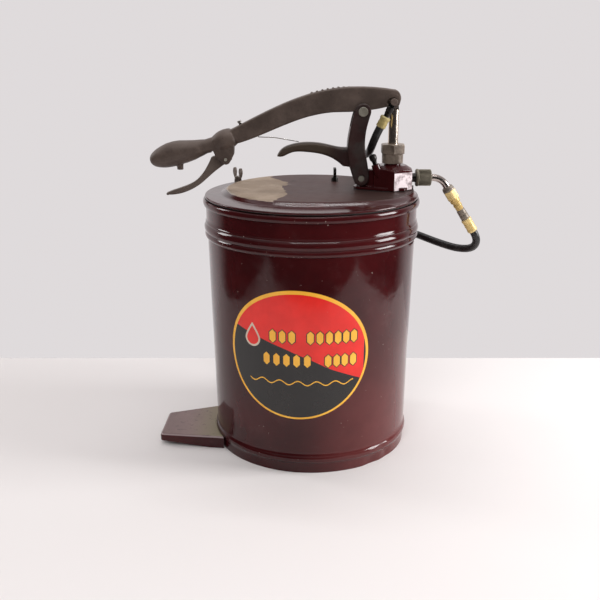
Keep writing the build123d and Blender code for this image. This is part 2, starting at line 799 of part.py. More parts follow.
def turned(label, start, axis, rings, bore):
    """A turned fitting: rings are (distance, radius) pairs along its axis, over a bore."""
    plane = Plane(origin=start, x_dir=axis, z_dir=axis.cross(Vector(0, 1, 0)).normalized())
    first, last = rings[0][0], rings[-1][0]
    with BuildPart() as fitting:
        with BuildSketch(plane):
            with BuildLine():
                Polyline((first, bore), *rings, (last, bore), close=True)
            make_face()
        revolve(axis=Axis(start, axis))
    write(fitting, label)


turned(
    "elbow_collar",
    outlet_end,
    HOSE_DROP,
    [(-5, 7.0), (-4, 8.6), (0, 9.4), (2.0, 9.4)],
    ELBOW_R,
)
with BuildPart() as hose_coupling:
    coupling_plane = across(along(outlet_end, HOSE_DROP, 2.0), HOSE_DROP)
    with BuildSketch(coupling_plane):
        RegularPolygon(COUPLING_FLAT, 6, major_radius=False)
        Circle(FITTING_BORE_R, mode=Mode.SUBTRACT)
    extrude(amount=16)
    with BuildSketch(coupling_plane.offset(16)):
        Circle(8.0)
        Circle(FITTING_BORE_R, mode=Mode.SUBTRACT)
    extrude(amount=6)
    with BuildSketch(coupling_plane.offset(22)):
        Circle(6.6)
        Circle(FITTING_BORE_R, mode=Mode.SUBTRACT)
    extrude(amount=14)
write(hose_coupling, "hose_coupling")

turned(
    "hose_sleeve",
    outlet_end,
    HOSE_DROP,
    [(38.0, 6.0), (39.0, 6.8), (55.0, 7.1), (56.0, 6.7)],
    FITTING_BORE_R,
)
turned(
    "outlet_ferrule",
    outlet_end,
    HOSE_DROP,
    [(56.0, 7.4), (57.0, 8.3), (61.0, 8.3), (62.0, 7.8), (78.0, 8.2), (80.0, 7.4)],
    FITTING_BORE_R,
)

# ---- hose: straight runs joined by tangent arcs --------------------------------------
hose_start = along(outlet_end, HOSE_DROP, HOSE_FITTING_LENGTH)
hose_end = along(NOZZLE_TOP, NOZZLE_AXIS, NOZZLE_LENGTH)
HOSE_ROUTE = [
    hose_start,
    along(hose_start, HOSE_DROP, 8),
    (268.3, 3.2, 332.4),
    (267.4, 9.8, 323.0),
    (261.6, 18.2, 316.2),
    (251.5, 27.8, 313.2),
    (237.0, 40.0, 312.8),
    (215.0, 59.0, 316.5),
    (192.0, 82.0, 321.5),
    (172.0, 108.0, 324.5),
    (152.0, 136.0, 326.0),
    (132.0, 162.0, 331.0),
    (115.0, 181.0, 345.0),
    (103.0, 192.0, 367.0),
    (95.5, 194.0, 394.0),
    (91.0, 186.0, 420.5),
    (88.5, 167.0, 441.0),
    (88.0, 141.0, 452.0),
    (88.5, 113.0, 456.0),
    (89.5, 86.0, 460.0),
    (90.8, 60.0, 464.5),
    (92.0, 37.0, 469.5),
    (93.0, 17.0, 475.5),
    (93.9, 2.0, 482.5),
    (95.4, -8.0, 490.5),
    (97.9, -14.6, 499.0),
    along(hose_end, NOZZLE_AXIS, 9),
    hose_end,
]
route = [Vector(point) for point in HOSE_ROUTE]


def route_radii(points):
    """Each arc is as large as its two runs allow."""
    radii = []
    for before, corner, after in zip(points, points[1:], points[2:]):
        turn = (corner - before).get_angle(after - corner)
        run = min((corner - before).length, (after - corner).length)
        radii.append(0.45 * run / tan(radians(turn) / 2))
    return radii


hose_radii = route_radii(route)
print("hose radii", [round(radius, 1) for radius in hose_radii])
with BuildPart() as hose:
    with BuildLine() as hose_path:
        FilletPolyline(*route, radius=hose_radii)
    with BuildSketch(across(hose_start, HOSE_DROP)):
        Circle(HOSE_R)
    sweep()
hose_length = hose_path.wires()[0].length
print("hose length", round(hose_length, 1))
print("hose volume over section times length", hose.part.volume / (pi * HOSE_R**2 * hose_length))
write(hose, "hose")

# ---- nozzle end, parked on the rod pin's stud -----------------------------------------
turned(
    "nozzle_ferrule",
    NOZZLE_TOP,
    NOZZLE_AXIS,
    [(25.0, 6.0), (26.0, 6.6), (29.0, 6.6), (30.0, 6.2), (42.0, 6.8), (43.0, 6.4)],
    2.4,
)
turned(
    "nozzle_coupler",
    NOZZLE_TOP,
    NOZZLE_AXIS,
    [(9.0, 4.6), (9.8, 5.6), (16.0, 5.6), (16.6, 5.0), (20.0, 5.0), (21.0, 4.4), (25.0, 4.4)],
    2.4,
)
with BuildPart() as coupler_jaws:
    jaw_plane = across(along(NOZZLE_TOP, NOZZLE_AXIS, 9.0), -NOZZLE_AXIS)
    with BuildSketch(jaw_plane):
        with PolarLocations(3.7, 3, start_angle=20):
            Rectangle(2.2, 4.4)
    extrude(amount=4.2)
write(coupler_jaws, "coupler_jaws")

# ---- plunger: rod, pin, piston --------------------------------------------------------
ROD_FOOT = 418.0
TANG_FOOT = 541.0
PISTON_TOP = 414.0
PISTON_H = 16.0
with BuildPart() as plunger_rod:
    with BuildSketch(Plane.XY.offset(ROD_FOOT)):
        with Locations((PUMP_X, 0)):
            Circle(ROD_R)
    extrude(amount=TANG_FOOT - ROD_FOOT)
    with BuildSketch(Plane.XY.offset(PISTON_TOP - PISTON_H - 10)):
        with Locations((PUMP_X, 0)):
            Circle(4.0)
    extrude(amount=ROD_FOOT - PISTON_TOP + PISTON_H + 10)
    with BuildSketch(Plane.XZ):
        with Locations(ROD_PIN):
            Circle(8.6)
        with BuildLine():
            Polyline(
                (PUMP_X - 7.5, TANG_FOOT - 4),
                (PUMP_X + 7.5, TANG_FOOT - 4),
                (PUMP_X + 7.0, TANG_FOOT + 4),
                (ROD_PIN[0] + 8.2, ROD_PIN[1] - 2),
                (ROD_PIN[0] - 8.4, ROD_PIN[1] - 2),
                close=True,
            )
        make_face()
    extrude(amount=TANG_HALF, both=True)
    with BuildSketch(Plane.XZ):
        with Locations(ROD_PIN):
            Circle(ROD_PIN_R)
    extrude(amount=20, both=True, mode=Mode.SUBTRACT)
write(plunger_rod, "plunger_rod")

with BuildPart() as rod_pin:
    with BuildSketch(Plane.XZ):
        with Locations(ROD_PIN):
            Circle(ROD_PIN_R)
    extrude(amount=11.6, both=True)
    with BuildSketch(Plane.XZ.offset(11.6)):
        with Locations(ROD_PIN):
            Circle(3.0)
    extrude(amount=16.6)
    with BuildSketch(Plane.XZ.offset(28.2)):
        with Locations(ROD_PIN):
            Circle(5.4)
    extrude(amount=3.0)
    fillet(rod_pin.faces().sort_by(Axis.Y)[0].edges(), radius=1.0)
    with BuildSketch(Plane.XZ.offset(-11.6)):
        with Locations(ROD_PIN):
            Circle(7.2)
    extrude(amount=-3.0)
    # nipple that the parked nozzle clips over
    with BuildSketch(across(NOZZLE_TOP, NOZZLE_AXIS)):
        Circle(2.1)
    extrude(amount=14.0)
write(rod_pin, "rod_pin")

with BuildPart() as piston:
    with BuildSketch(Plane.XZ):
        with BuildLine():
            Polyline(
                (PUMP_X + 4.0, PISTON_TOP - PISTON_H),
                (PUMP_X + BORE_R - 1.2, PISTON_TOP - PISTON_H),
                (PUMP_X + BORE_R - 1.2, PISTON_TOP - 6),
                (PUMP_X + BORE_R - PISTON_PLAY, PISTON_TOP - 6),
                (PUMP_X + BORE_R - PISTON_PLAY, PISTON_TOP),
                (PUMP_X + 8.0, PISTON_TOP + 4),
                (PUMP_X + 4.0, PISTON_TOP + 4),
                close=True,
            )
        make_face()
    revolve(axis=Axis((PUMP_X, 0, 0), (0, 0, 1)))
    with Locations((PUMP_X, 0, PISTON_TOP)):
        with PolarLocations(8.4, 6):
            Cylinder(1.4, 60, mode=Mode.SUBTRACT)
write(piston, "piston")

with BuildPart() as piston_cups:
    for level in (0, 1):
        with BuildSketch(Plane.XZ):
            with BuildLine():
                foot = PISTON_TOP - PISTON_H + 0.2 + 5 * level
                Polyline(
                    (PUMP_X + BORE_R - 1.2, foot),
                    (PUMP_X + BORE_R - CUP_PLAY, foot),
                    (PUMP_X + BORE_R - CUP_PLAY, foot + 4.5),
                    (PUMP_X + BORE_R - 1.2, foot + 4.5),
                    close=True,
                )
            make_face()
        revolve(axis=Axis((PUMP_X, 0, 0), (0, 0, 1)))
write(piston_cups, "piston_cups")

with BuildPart() as piston_valve:
    with BuildSketch(Plane.XY.offset(PISTON_TOP - PISTON_H - 1.6)):
        with Locations((PUMP_X, 0)):
            Circle(10.6)
            Circle(4.1, mode=Mode.SUBTRACT)
    extrude(amount=1.4)
write(piston_valve, "piston_valve")

with BuildPart() as piston_nut:
    with BuildSketch(Plane.XY.offset(PISTON_TOP - PISTON_H - 8)):
        with Locations((PUMP_X, 0)):
            RegularPolygon(6.5, 6, major_radius=False)
            Circle(4.0, mode=Mode.SUBTRACT)
    extrude(amount=6)
write(piston_nut, "piston_nut")

# ---- link: a rocking casting, forked at both ends, with the curved carry handle --------
EYE_R = 12.5
FOOT_R = 12.0


def on_circle(centre, radius, angle):
    """The point of a circle in the XZ plane at an angle from +X."""
    return (centre[0] + radius * cos(radians(angle)), centre[1] + radius * sin(radians(angle)))


def heading(angle):
    """The way an anticlockwise circle runs at an angle from +X."""
    return (-sin(radians(angle)), cos(radians(angle)))


with BuildPart() as link:
    with BuildSketch(Plane.XZ):
        with BuildLine():
            left_side = Spline(
                on_circle(FULCRUM, EYE_R, 158),
                (59.4, 512.0),
                (56.0, 488.0),
                (58.0, 462.0),
                on_circle(LINK_BASE, FOOT_R, 197.5),
                tangents=(heading(158), heading(197.5)),
            )
            ThreePointArc(left_side @ 1, on_circle(LINK_BASE, FOOT_R, 280), on_circle(LINK_BASE, FOOT_R, 3.4))
            right_side = Spline(
                on_circle(LINK_BASE, FOOT_R, 3.4),
                (87.5, 458.0),
                (83.8, 478.0),
                (83.2, 500.0),
                on_circle(FULCRUM, EYE_R, 342.5),
                tangents=(heading(3.4), heading(342.5)),
            )
            ThreePointArc(right_side @ 1, on_circle(FULCRUM, EYE_R, 70), left_side @ 0)
        make_face()
    extrude(amount=LINK_HALF, both=True)
    side_edges = link.faces().filter_by(Axis.Y).edges()
    fillet(side_edges, radius=2.5)
    with BuildSketch(Plane.XZ):
        with BuildLine():
            horn_top = Spline(
                (60.0, 484.0),
                (46.0, 483.6),
                (21.0, 488.6),
                (0.0, 491.2),
                (-30.0, 488.2),
                (-44.0, 482.6),
                (-54.0, 469.5),
            )
            horn_under = Spline(
                (-54.0, 469.5),
                (-47.5, 468.6),
                (-33.0, 474.4),
                (-8.0, 476.0),
                (21.0, 471.2),
                (37.0, 463.8),
                (49.0, 454.5),
                (62.0, 441.0),
            )
            Line(horn_under @ 1, horn_top @ 0)
        make_face()
    extrude(amount=8.5, both=True)
    horn_edges = link.edges().filter_by(lambda e: e.center().X < 40 and abs(e.center().Y) > 8)
    fillet(horn_edges, radius=5.0)
    # fork slots for the lever above and the lug below
    with BuildSketch(Plane.XY.offset(FULCRUM[1] - 24)):
        with Locations((FULCRUM[0], 0)):
            Rectangle(60, 2 * LINK_SLOT)
    extrude(amount=60, mode=Mode.SUBTRACT)
    with BuildSketch(Plane.XY.offset(LINK_BASE[1] - 20)):
        with Locations((LINK_BASE[0] - 3, 0)):
            Rectangle(60, 2 * (LUG_HALF + CLEAR))
    extrude(amount=38, mode=Mode.SUBTRACT)
    with BuildSketch(Plane.XZ):
        with Locations(FULCRUM):
            Circle(FULCRUM_PIN_R)
        with Locations(LINK_BASE):
            Circle(LINK_PIN_R + RUN)
    extrude(amount=30, both=True, mode=Mode.SUBTRACT)
write(link, "link")

with BuildPart() as link_pin:
    with BuildSketch(Plane.XZ):
        with Locations(LINK_BASE):
            Circle(LINK_PIN_R)
    extrude(amount=LINK_HALF - 1.2, both=True)
    chamfer(link_pin.edges().filter_by(GeomType.CIRCLE), length=0.6)
write(link_pin, "link_pin")

CLIP_Y = LINK_HALF + 0.2
with BuildPart() as fulcrum_pin:
    with BuildSketch(Plane.XZ.offset(LINK_HALF)):
        with Locations(FULCRUM):
            Circle(FULCRUM_PIN_R)
    extrude(amount=-(2 * LINK_HALF + 4.0))
    with BuildSketch(Plane.XZ.offset(LINK_HALF)):
        with Locations(FULCRUM):
            Circle(7.4)
    extrude(amount=3.4)
    fillet(fulcrum_pin.faces().sort_by(Axis.Y)[0].edges(), radius=1.4)
write(fulcrum_pin, "fulcrum_pin")

with BuildPart() as fulcrum_clip:
    with BuildSketch(Plane.XZ.offset(-CLIP_Y)):
        with Locations(FULCRUM):
            Circle(8.6)
            Circle(FULCRUM_PIN_R, mode=Mode.SUBTRACT)
            with Locations((0, -7)):
                Rectangle(4.4, 8, mode=Mode.SUBTRACT)
    extrude(amount=-1.6)
write(fulcrum_clip, "fulcrum_clip")

# ---- lever ---------------------------------------------------------------------------
SLOT_BACK = 3.4
SLOT_FORE = 1.1
SLOT_PLAY = 0.9
ARM_END = Vector(-120.0, 0, 500.8)
ARM_AXIS = Vector(cos(radians(24)), 0, sin(radians(24)))
TANG_R = 7.5
TANG_IN = 32.0
SET_SCREW_AT = 16.0
WIRE_R = 0.65
WIRE_TOP = (-84.0, -4.0, 505.0)
arm_lean = degrees(atan2(ROD_PIN[1] - FULCRUM[1], ROD_PIN[0] - FULCRUM[0]))

with BuildPart() as lever:
    with BuildSketch(Plane.XZ):
        with BuildLine():
            lever_top = Spline(
                (130.0, 570.6),
                (97.0, 574.6),
                (45.0, 574.2),
                (-3.0, 564.8),
                (-57.0, 544.4),
                (-126.0, 510.6),
            )
            lever_under = Spline(
                (-114.0, 489.6),
                (-64.0, 508.4),
                (-3.0, 530.8),
                (30.0, 536.6),
                (60.0, 537.6),
                (92.0, 540.6),
                (116.0, 545.2),
            )
            Line(lever_top @ 1, lever_under @ 0)
            ThreePointArc(lever_under @ 1, (136.9, 557.0), lever_top @ 0)
        make_face()
    extrude(amount=LEVER_HALF, both=True)
    long_edges = lever.faces().filter_by(Axis.Y).edges().filter_by(lambda edge: edge.length > 100)
    fillet(long_edges, radius=3.0)
    with BuildSketch(Plane.XZ):
        with Locations(FULCRUM):
            Circle(EYE_R - 0.6)
    extrude(amount=LEVER_HALF, both=True)
    # bosses round the rod pin
    with BuildSketch(Plane.XZ):
        with Locations(ROD_PIN):
            Circle(11.4)
    extrude(amount=LEVER_HALF + 0.8, both=True)
    # fork gap, fulcrum hole, rod pin slot and the socket of the grip's tang
    with BuildSketch(Plane.XY.offset(500)):
        with Locations((108.0, 0)):
            Rectangle(60, 2 * (TANG_HALF + CLEAR), align=(Align.MIN, Align.CENTER))
    extrude(amount=100, mode=Mode.SUBTRACT)
    with BuildSketch(Plane.XZ):
        with Locations(FULCRUM):
            Circle(FULCRUM_PIN_R + RUN)
        slot_shift = (SLOT_FORE - SLOT_BACK) / 2
        slot_centre = (
            ROD_PIN[0] + slot_shift * cos(radians(arm_lean)),
            ROD_PIN[1] + slot_shift * sin(radians(arm_lean)),
        )
        with Locations(Location((*slot_centre, 0), (0, 0, arm_lean))):
            SlotCenterToCenter(SLOT_BACK + SLOT_FORE, 2 * (ROD_PIN_R + SLOT_PLAY))
    extrude(amount=30, both=True, mode=Mode.SUBTRACT)
    with BuildSketch(across(along(ARM_END, ARM_AXIS, -10), ARM_AXIS)):
        Circle(TANG_R)
    extrude(amount=10 + TANG_IN, mode=Mode.SUBTRACT)
    screw_foot = along(ARM_END, ARM_AXIS, SET_SCREW_AT)
    with BuildSketch(across(screw_foot, Vector(-ARM_AXIS.Z, 0, ARM_AXIS.X))):
        Circle(2.5)
    extrude(amount=30, mode=Mode.SUBTRACT)
    with BuildSketch(Plane(origin=WIRE_TOP, z_dir=(0, 0, -1))):
        Circle(WIRE_R)
    extrude(amount=20, mode=Mode.SUBTRACT)
write(lever, "lever")

with BuildPart() as grip_screw:
    with BuildSketch(across(screw_foot, Vector(-ARM_AXIS.Z, 0, ARM_AXIS.X)).offset(TANG_R)):
        Circle(2.5)
    extrude(amount=9)
    with BuildSketch(across(screw_foot, Vector(-ARM_AXIS.Z, 0, ARM_AXIS.X)).offset(TANG_R + 8.0)):
        Circle(3.2)
    extrude(amount=2.6)
write(grip_screw, "grip_screw")

# ---- grip: bulb, neck, trigger housing and tang ----------------------------------------
GRIP_TIP = Vector(-253.4, 0, 462.0)
GRIP_AXIS = Vector(cos(radians(14.2)), 0, sin(radians(14.2)))
EAR_HALF = 11.0
EAR_GAP = 6.0
TRIGGER_PIN_R = 2.5

with BuildPart() as grip:
    grip_plane = Plane(origin=GRIP_TIP, x_dir=GRIP_AXIS, z_dir=(0, -1, 0))
    with BuildSketch(grip_plane):
        with BuildLine():
            bulb = Spline(
                (0, 0),
                (3.0, 8.0),
                (18.0, 15.6),
                (42.0, 17.8),
                (62.0, 15.8),
                (80.0, 12.2),
                (104.0, 11.6),
                tangents=((0, 1), (1, 0.05)),
            )
            Line(bulb @ 1, (104.0, 0))
            Line((104.0, 0), (0, 0))
        make_face()
    revolve(axis=Axis(GRIP_TIP, GRIP_AXIS))
    # small lug under the bulb, where the trigger stops
    with Locations((-206.5, 0, 456.5)):
        Cylinder(5.0, 8.3, align=(Align.CENTER, Align.CENTER, Align.MAX))
    # trigger housing and the collar that butts against the arm
    with BuildSketch(across(along(ARM_END, ARM_AXIS, -32), ARM_AXIS)):
        Circle(13.0)
    with BuildSketch(across(along(ARM_END, ARM_AXIS, -20), ARM_AXIS)):
        Circle(16.4)
    with BuildSketch(across(along(ARM_END, ARM_AXIS, -2), ARM_AXIS)):
        Circle(13.6)
    loft()
    with BuildSketch(Plane.XZ):
        with Locations(TRIGGER_PIN):
            Circle(8.0)
        with BuildLine():
            Polyline(
                (-153.6, 496.0),
                (-153.6, 479.0),
                (-149.0, 468.0),
                (-141.6, 462.6),
                (-126.6, 462.0),
                (-121.4, 472.0),
                (-120.4, 486.0),
                (-124.0, 500.0),
                close=True,
            )
        make_face()
    extrude(amount=EAR_HALF, both=True)
    with BuildSketch(across(ARM_END, ARM_AXIS).offset(-14)):
        Circle(TANG_R - SNUG)
    extrude(amount=14 + TANG_IN - 1)
    # gap between the two ears for the trigger
    with BuildSketch(Plane.XZ):
        with BuildLine():
            Polyline(
                (-176.0, 462.0),
                (-156.0, 472.0),
                (-156.0, 479.0),
                (-134.0, 483.0),
                (-117.0, 480.0),
                (-117.0, 445.0),
                (-176.0, 445.0),
                close=True,
            )
        make_face()
    extrude(amount=EAR_GAP, both=True, mode=Mode.SUBTRACT)
    with BuildSketch(Plane.XZ):
        with Locations(TRIGGER_PIN):
            Circle(TRIGGER_PIN_R)
    extrude(amount=30, both=True, mode=Mode.SUBTRACT)
write(grip, "grip")

with BuildPart() as trigger_pin:
    with BuildSketch(Plane.XZ):
        with Locations(TRIGGER_PIN):
            Circle(TRIGGER_PIN_R)
    extrude(amount=EAR_HALF + 0.8, both=True)
write(trigger_pin, "trigger_pin")

with BuildPart() as trigger:
    with BuildSketch(Plane.XZ):
        with BuildLine():
            upper = Spline(
                (-229.4, 411.6),
                (-203.0, 421.4),
                (-184.0, 430.2),
                (-168.0, 447.4),
                (-157.0, 468.0),
            )
            lower = Spline(
                (-124.8, 463.6),
                (-140.8, 453.9),
                (-157.0, 441.4),
                (-176.5, 425.0),
                (-198.0, 413.6),
                (-226.0, 408.8),
            )
            ThreePointArc(lower @ 1, (-229.6, 409.4), upper @ 0)
            Line(upper @ 1, (-141.0, 473.5))
            ThreePointArc((-141.0, 473.5), (-131.0, 475.0), (-124.8, 463.6))
        make_face()
    extrude(amount=EAR_GAP - 0.5, both=True)
    rim_edges = trigger.faces().filter_by(Axis.Y).edges().filter_by(lambda edge: edge.length > 60)
    fillet(rim_edges, radius=1.6)
    with BuildSketch(Plane.XZ):
        with Locations(TRIGGER_PIN):
            Circle(TRIGGER_PIN_R + RUN)
    extrude(amount=30, both=True, mode=Mode.SUBTRACT)
write(trigger, "trigger")

# ---- thin wire from the lever's underside to just above the carry handle ---------------
with BuildPart() as lever_wire:
    with BuildLine():
        FilletPolyline(
            WIRE_TOP,
            (WIRE_TOP[0], WIRE_TOP[1], 499.4),
            (-58.0, -4.0, 498.6),
            (-20.0, -4.0, 492.2),
            radius=(3.0, 30.0),
        )
    with BuildSketch(Plane(origin=WIRE_TOP, z_dir=(0, 0, -1))):
        Circle(WIRE_R)
    sweep()
write(lever_wire, "lever_wire")
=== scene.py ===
from math import atan2, cos, hypot, pi, radians, sin

import bmesh
import bpy
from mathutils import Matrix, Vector, noise


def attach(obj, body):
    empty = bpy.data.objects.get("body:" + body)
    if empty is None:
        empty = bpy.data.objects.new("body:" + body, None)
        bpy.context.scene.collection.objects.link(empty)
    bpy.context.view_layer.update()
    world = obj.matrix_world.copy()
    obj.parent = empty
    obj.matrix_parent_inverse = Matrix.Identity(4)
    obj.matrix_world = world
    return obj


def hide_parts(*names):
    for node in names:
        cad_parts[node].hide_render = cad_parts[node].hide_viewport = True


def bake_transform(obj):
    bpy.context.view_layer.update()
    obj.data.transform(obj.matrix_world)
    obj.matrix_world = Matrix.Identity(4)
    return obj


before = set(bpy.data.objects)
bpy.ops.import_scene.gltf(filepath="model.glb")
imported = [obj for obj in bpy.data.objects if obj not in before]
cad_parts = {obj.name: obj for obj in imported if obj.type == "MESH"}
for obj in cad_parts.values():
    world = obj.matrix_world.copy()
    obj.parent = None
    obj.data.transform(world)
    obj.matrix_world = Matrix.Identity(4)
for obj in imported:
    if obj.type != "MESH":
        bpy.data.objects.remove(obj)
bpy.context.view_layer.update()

MM = 0.001


def at(x, y, z):
    """A point given in millimetres, in metres."""
    return Vector((x, y, z)) * MM


# ---- driving dimensions, in millimetres as in the CAD model ------------------------
NECK_R, NECK_Z = 165.5, 345.5
SKIRT_R, SKIRT_H = 157.5, 16.0
COLLAR_R, RIM_Z, RIM_TOP = 167.2, 397.2, 406.5
BASE_R, BASE_Z = SKIRT_R + 0.4, SKIRT_H + 13
PAIL_SHEET = 1.2
COVER_R, COVER_Z, COVER_EDGE, COVER_SHEET = 168.4, 411.7, 3.2, 1.5
PLATEAU_Z = 418.0
PLATEAU_DISCS = ((0.0, 14.0, 132.5), (50.0, 0.0, 112.0))
PLATEAU_SLOPE_WIDTH = 11.8
LEVER_HALF = 10.0
OUTLET_Z = 435.5
OUTLET_END = at(217.6, 0, 416.6)
HOSE_DROP = Vector((0.54, 0, -0.842)).normalized()
NOZZLE_TOP = at(124.5, -23.0, 554.0)
NOZZLE_AXIS = Vector((-0.446, 0.102, -0.888)).normalized()
HOSE_RADIUS = 6.2
HOSE_FITTING_LENGTH = 80.0
NOZZLE_LENGTH = 43.0


# ---- camera ------------------------------------------------------------------------
SENSOR_WIDTH, LENS = 36, 51
CAMERA_PLACE = at(-17.9, -1341.9, 646.4)
CAMERA_DOWN = 17.13


def add_camera():
    """A view from the front, a little left of the axis and tilted down."""
    camera = bpy.data.objects.new("camera", bpy.data.cameras.new("camera"))
    camera.data.sensor_width = SENSOR_WIDTH
    camera.data.lens = LENS
    camera.location = CAMERA_PLACE
    camera.rotation_euler = (radians(90 - CAMERA_DOWN), 0, 0)
    bpy.context.scene.collection.objects.link(camera)
    bpy.context.scene.camera = camera


add_camera()


# ---- mesh helpers ------------------------------------------------------------------
def new_piece(name, mesh, sharp=35):
    """A shown object for a mesh, smooth except across edges sharper than `sharp` degrees."""
    piece = bpy.data.objects.new(name, mesh)
    bpy.context.scene.collection.objects.link(piece)
    mesh.shade_smooth()
    mesh.set_sharp_from_angle(angle=radians(sharp))
    return piece


def build(name, points, faces, sharp=35):
    """A piece from a list of points in metres and a list of faces."""
    mesh = bpy.data.meshes.new(name)
    mesh.from_pydata(points, [], faces)
    mesh.update()
    return new_piece(name, mesh, sharp)


def loft(name, rings, closed=True, caps=True, sharp=35):
    """Joins rings of equally many points. `closed` joins each ring's ends."""
    count = len(rings[0])
    points = [point for ring in rings for point in ring]
    faces = []
    for i in range(len(rings) - 1):
        for j in range(count if closed else count - 1):
            k = (j + 1) % count
            faces.append((i * count + j, i * count + k, (i + 1) * count + k, (i + 1) * count + j))
    if caps:
        faces.append(tuple(reversed(range(count))))
        faces.append(tuple(range((len(rings) - 1) * count, len(rings) * count)))
    return build(name, points, faces, sharp)


def arc(start, through, end, steps=8):
    """Points of the circle through three points of a plane, without the first."""
    (ax, ay), (bx, by), (cx, cy) = start, through, end
    d = 2 * (ax * (by - cy) + bx * (cy - ay) + cx * (ay - by))
    a2, b2, c2 = ax * ax + ay * ay, bx * bx + by * by, cx * cx + cy * cy
    ox = (a2 * (by - cy) + b2 * (cy - ay) + c2 * (ay - by)) / d
    oy = (a2 * (cx - bx) + b2 * (ax - cx) + c2 * (bx - ax)) / d
    radius = hypot(ax - ox, ay - oy)
    first, mid, last = (atan2(y - oy, x - ox) for x, y in (start, through, end))
    turn = (last - first) % (2 * pi)
    if (mid - first) % (2 * pi) > turn:
        turn -= 2 * pi
    angles = (first + turn * (i + 1) / steps for i in range(steps))
    return [(ox + radius * cos(angle), oy + radius * sin(angle)) for angle in angles]


def straight(start, end, steps):
    """Points along a line, without the first."""
    (ax, ay), (bx, by) = start, end
    shares = ((i + 1) / steps for i in range(steps))
    return [(ax + (bx - ax) * share, ay + (by - ay) * share) for share in shares]


def side_vectors(axis):
    """Two directions square to an axis and to each other."""
    helper = Vector((0, 1, 0)) if abs(axis.y) < 0.9 else Vector((1, 0, 0))
    side = axis.cross(helper).normalized()
    return side, axis.cross(side).normalized()


def lathe(name, outline, start, axis, segments=72, ripple=None):
    """Turns (distance, radius) pairs, in millimetres, about an axis. The outline closes on itself.
    `ripple` may change a radius by distance and angle."""
    side, up = side_vectors(axis)
    rings = []
    for distance, radius in outline:
        ring = []
        for i in range(segments):
            angle = 2 * pi * i / segments
            r = radius + (ripple(distance, angle) if ripple else 0)
            ring.append(start + (axis * distance + (side * cos(angle) + up * sin(angle)) * r) * MM)
        rings.append(ring)
    rings.append(rings[0])
    return loft(name, rings, caps=False)


def sweep(name, path, radius, segments=32):
    """A round bar along a list of points in metres, with flat ends."""
    tangents = []
    for i in range(len(path)):
        before, after = path[max(i - 1, 0)], path[min(i + 1, len(path) - 1)]
        tangents.append((after - before).normalized())
    side, _ = side_vectors(tangents[0])
    rings = []
    for point, tangent in zip(path, tangents):
        side = (side - tangent * side.dot(tangent)).normalized()
        up = tangent.cross(side)
        ring = []
        for j in range(segments):
            angle = 2 * pi * j / segments
            ring.append(point + (side * cos(angle) + up * sin(angle)) * radius * MM)
        rings.append(ring)
    return loft(name, rings)


def bake(piece):
    """Applies a piece's modifiers to its mesh."""
    depsgraph = bpy.context.evaluated_depsgraph_get()
    mesh = bpy.data.meshes.new_from_object(piece.evaluated_get(depsgraph))
    piece.modifiers.clear()
    piece.data = mesh
    return piece


CAST_ROUGHNESS = 0.12
LUMP_SIZE, GRAIN_SIZE = 9, 3


def casting(name, nodes, voxel, smooth, core=None, relief=None):
    """One cast piece over some CAD nodes, with its edges run together and an uneven skin."""
    joined = bmesh.new()
    for node in nodes:
        joined.from_mesh(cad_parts[node].data)
    if core:
        joined.from_mesh(core.data)
        bpy.data.objects.remove(core)
    mesh = bpy.data.meshes.new(name)
    joined.to_mesh(mesh)
    joined.free()
    piece = bpy.data.objects.new(name, mesh)
    bpy.context.scene.collection.objects.link(piece)
    remesh = piece.modifiers.new("skin", "REMESH")
    remesh.mode = "VOXEL"
    remesh.voxel_size = voxel * MM
    soften = piece.modifiers.new("soften", "SMOOTH")
    soften.factor = 0.5
    soften.iterations = smooth
    bake(piece)
    mesh = piece.data
    points = []
    for vertex in mesh.vertices:
        place = vertex.co
        lumps = noise.noise(place / (LUMP_SIZE * MM))
        lumps += 0.5 * noise.noise(place / (GRAIN_SIZE * MM))
        height = lumps * CAST_ROUGHNESS
        if relief:
            height += relief(place / MM, vertex.normal)
        points.extend(place + vertex.normal * height * MM)
    mesh.vertices.foreach_set("co", points)
    mesh.update()
    mesh.shade_smooth()
    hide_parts(*nodes)
    return piece


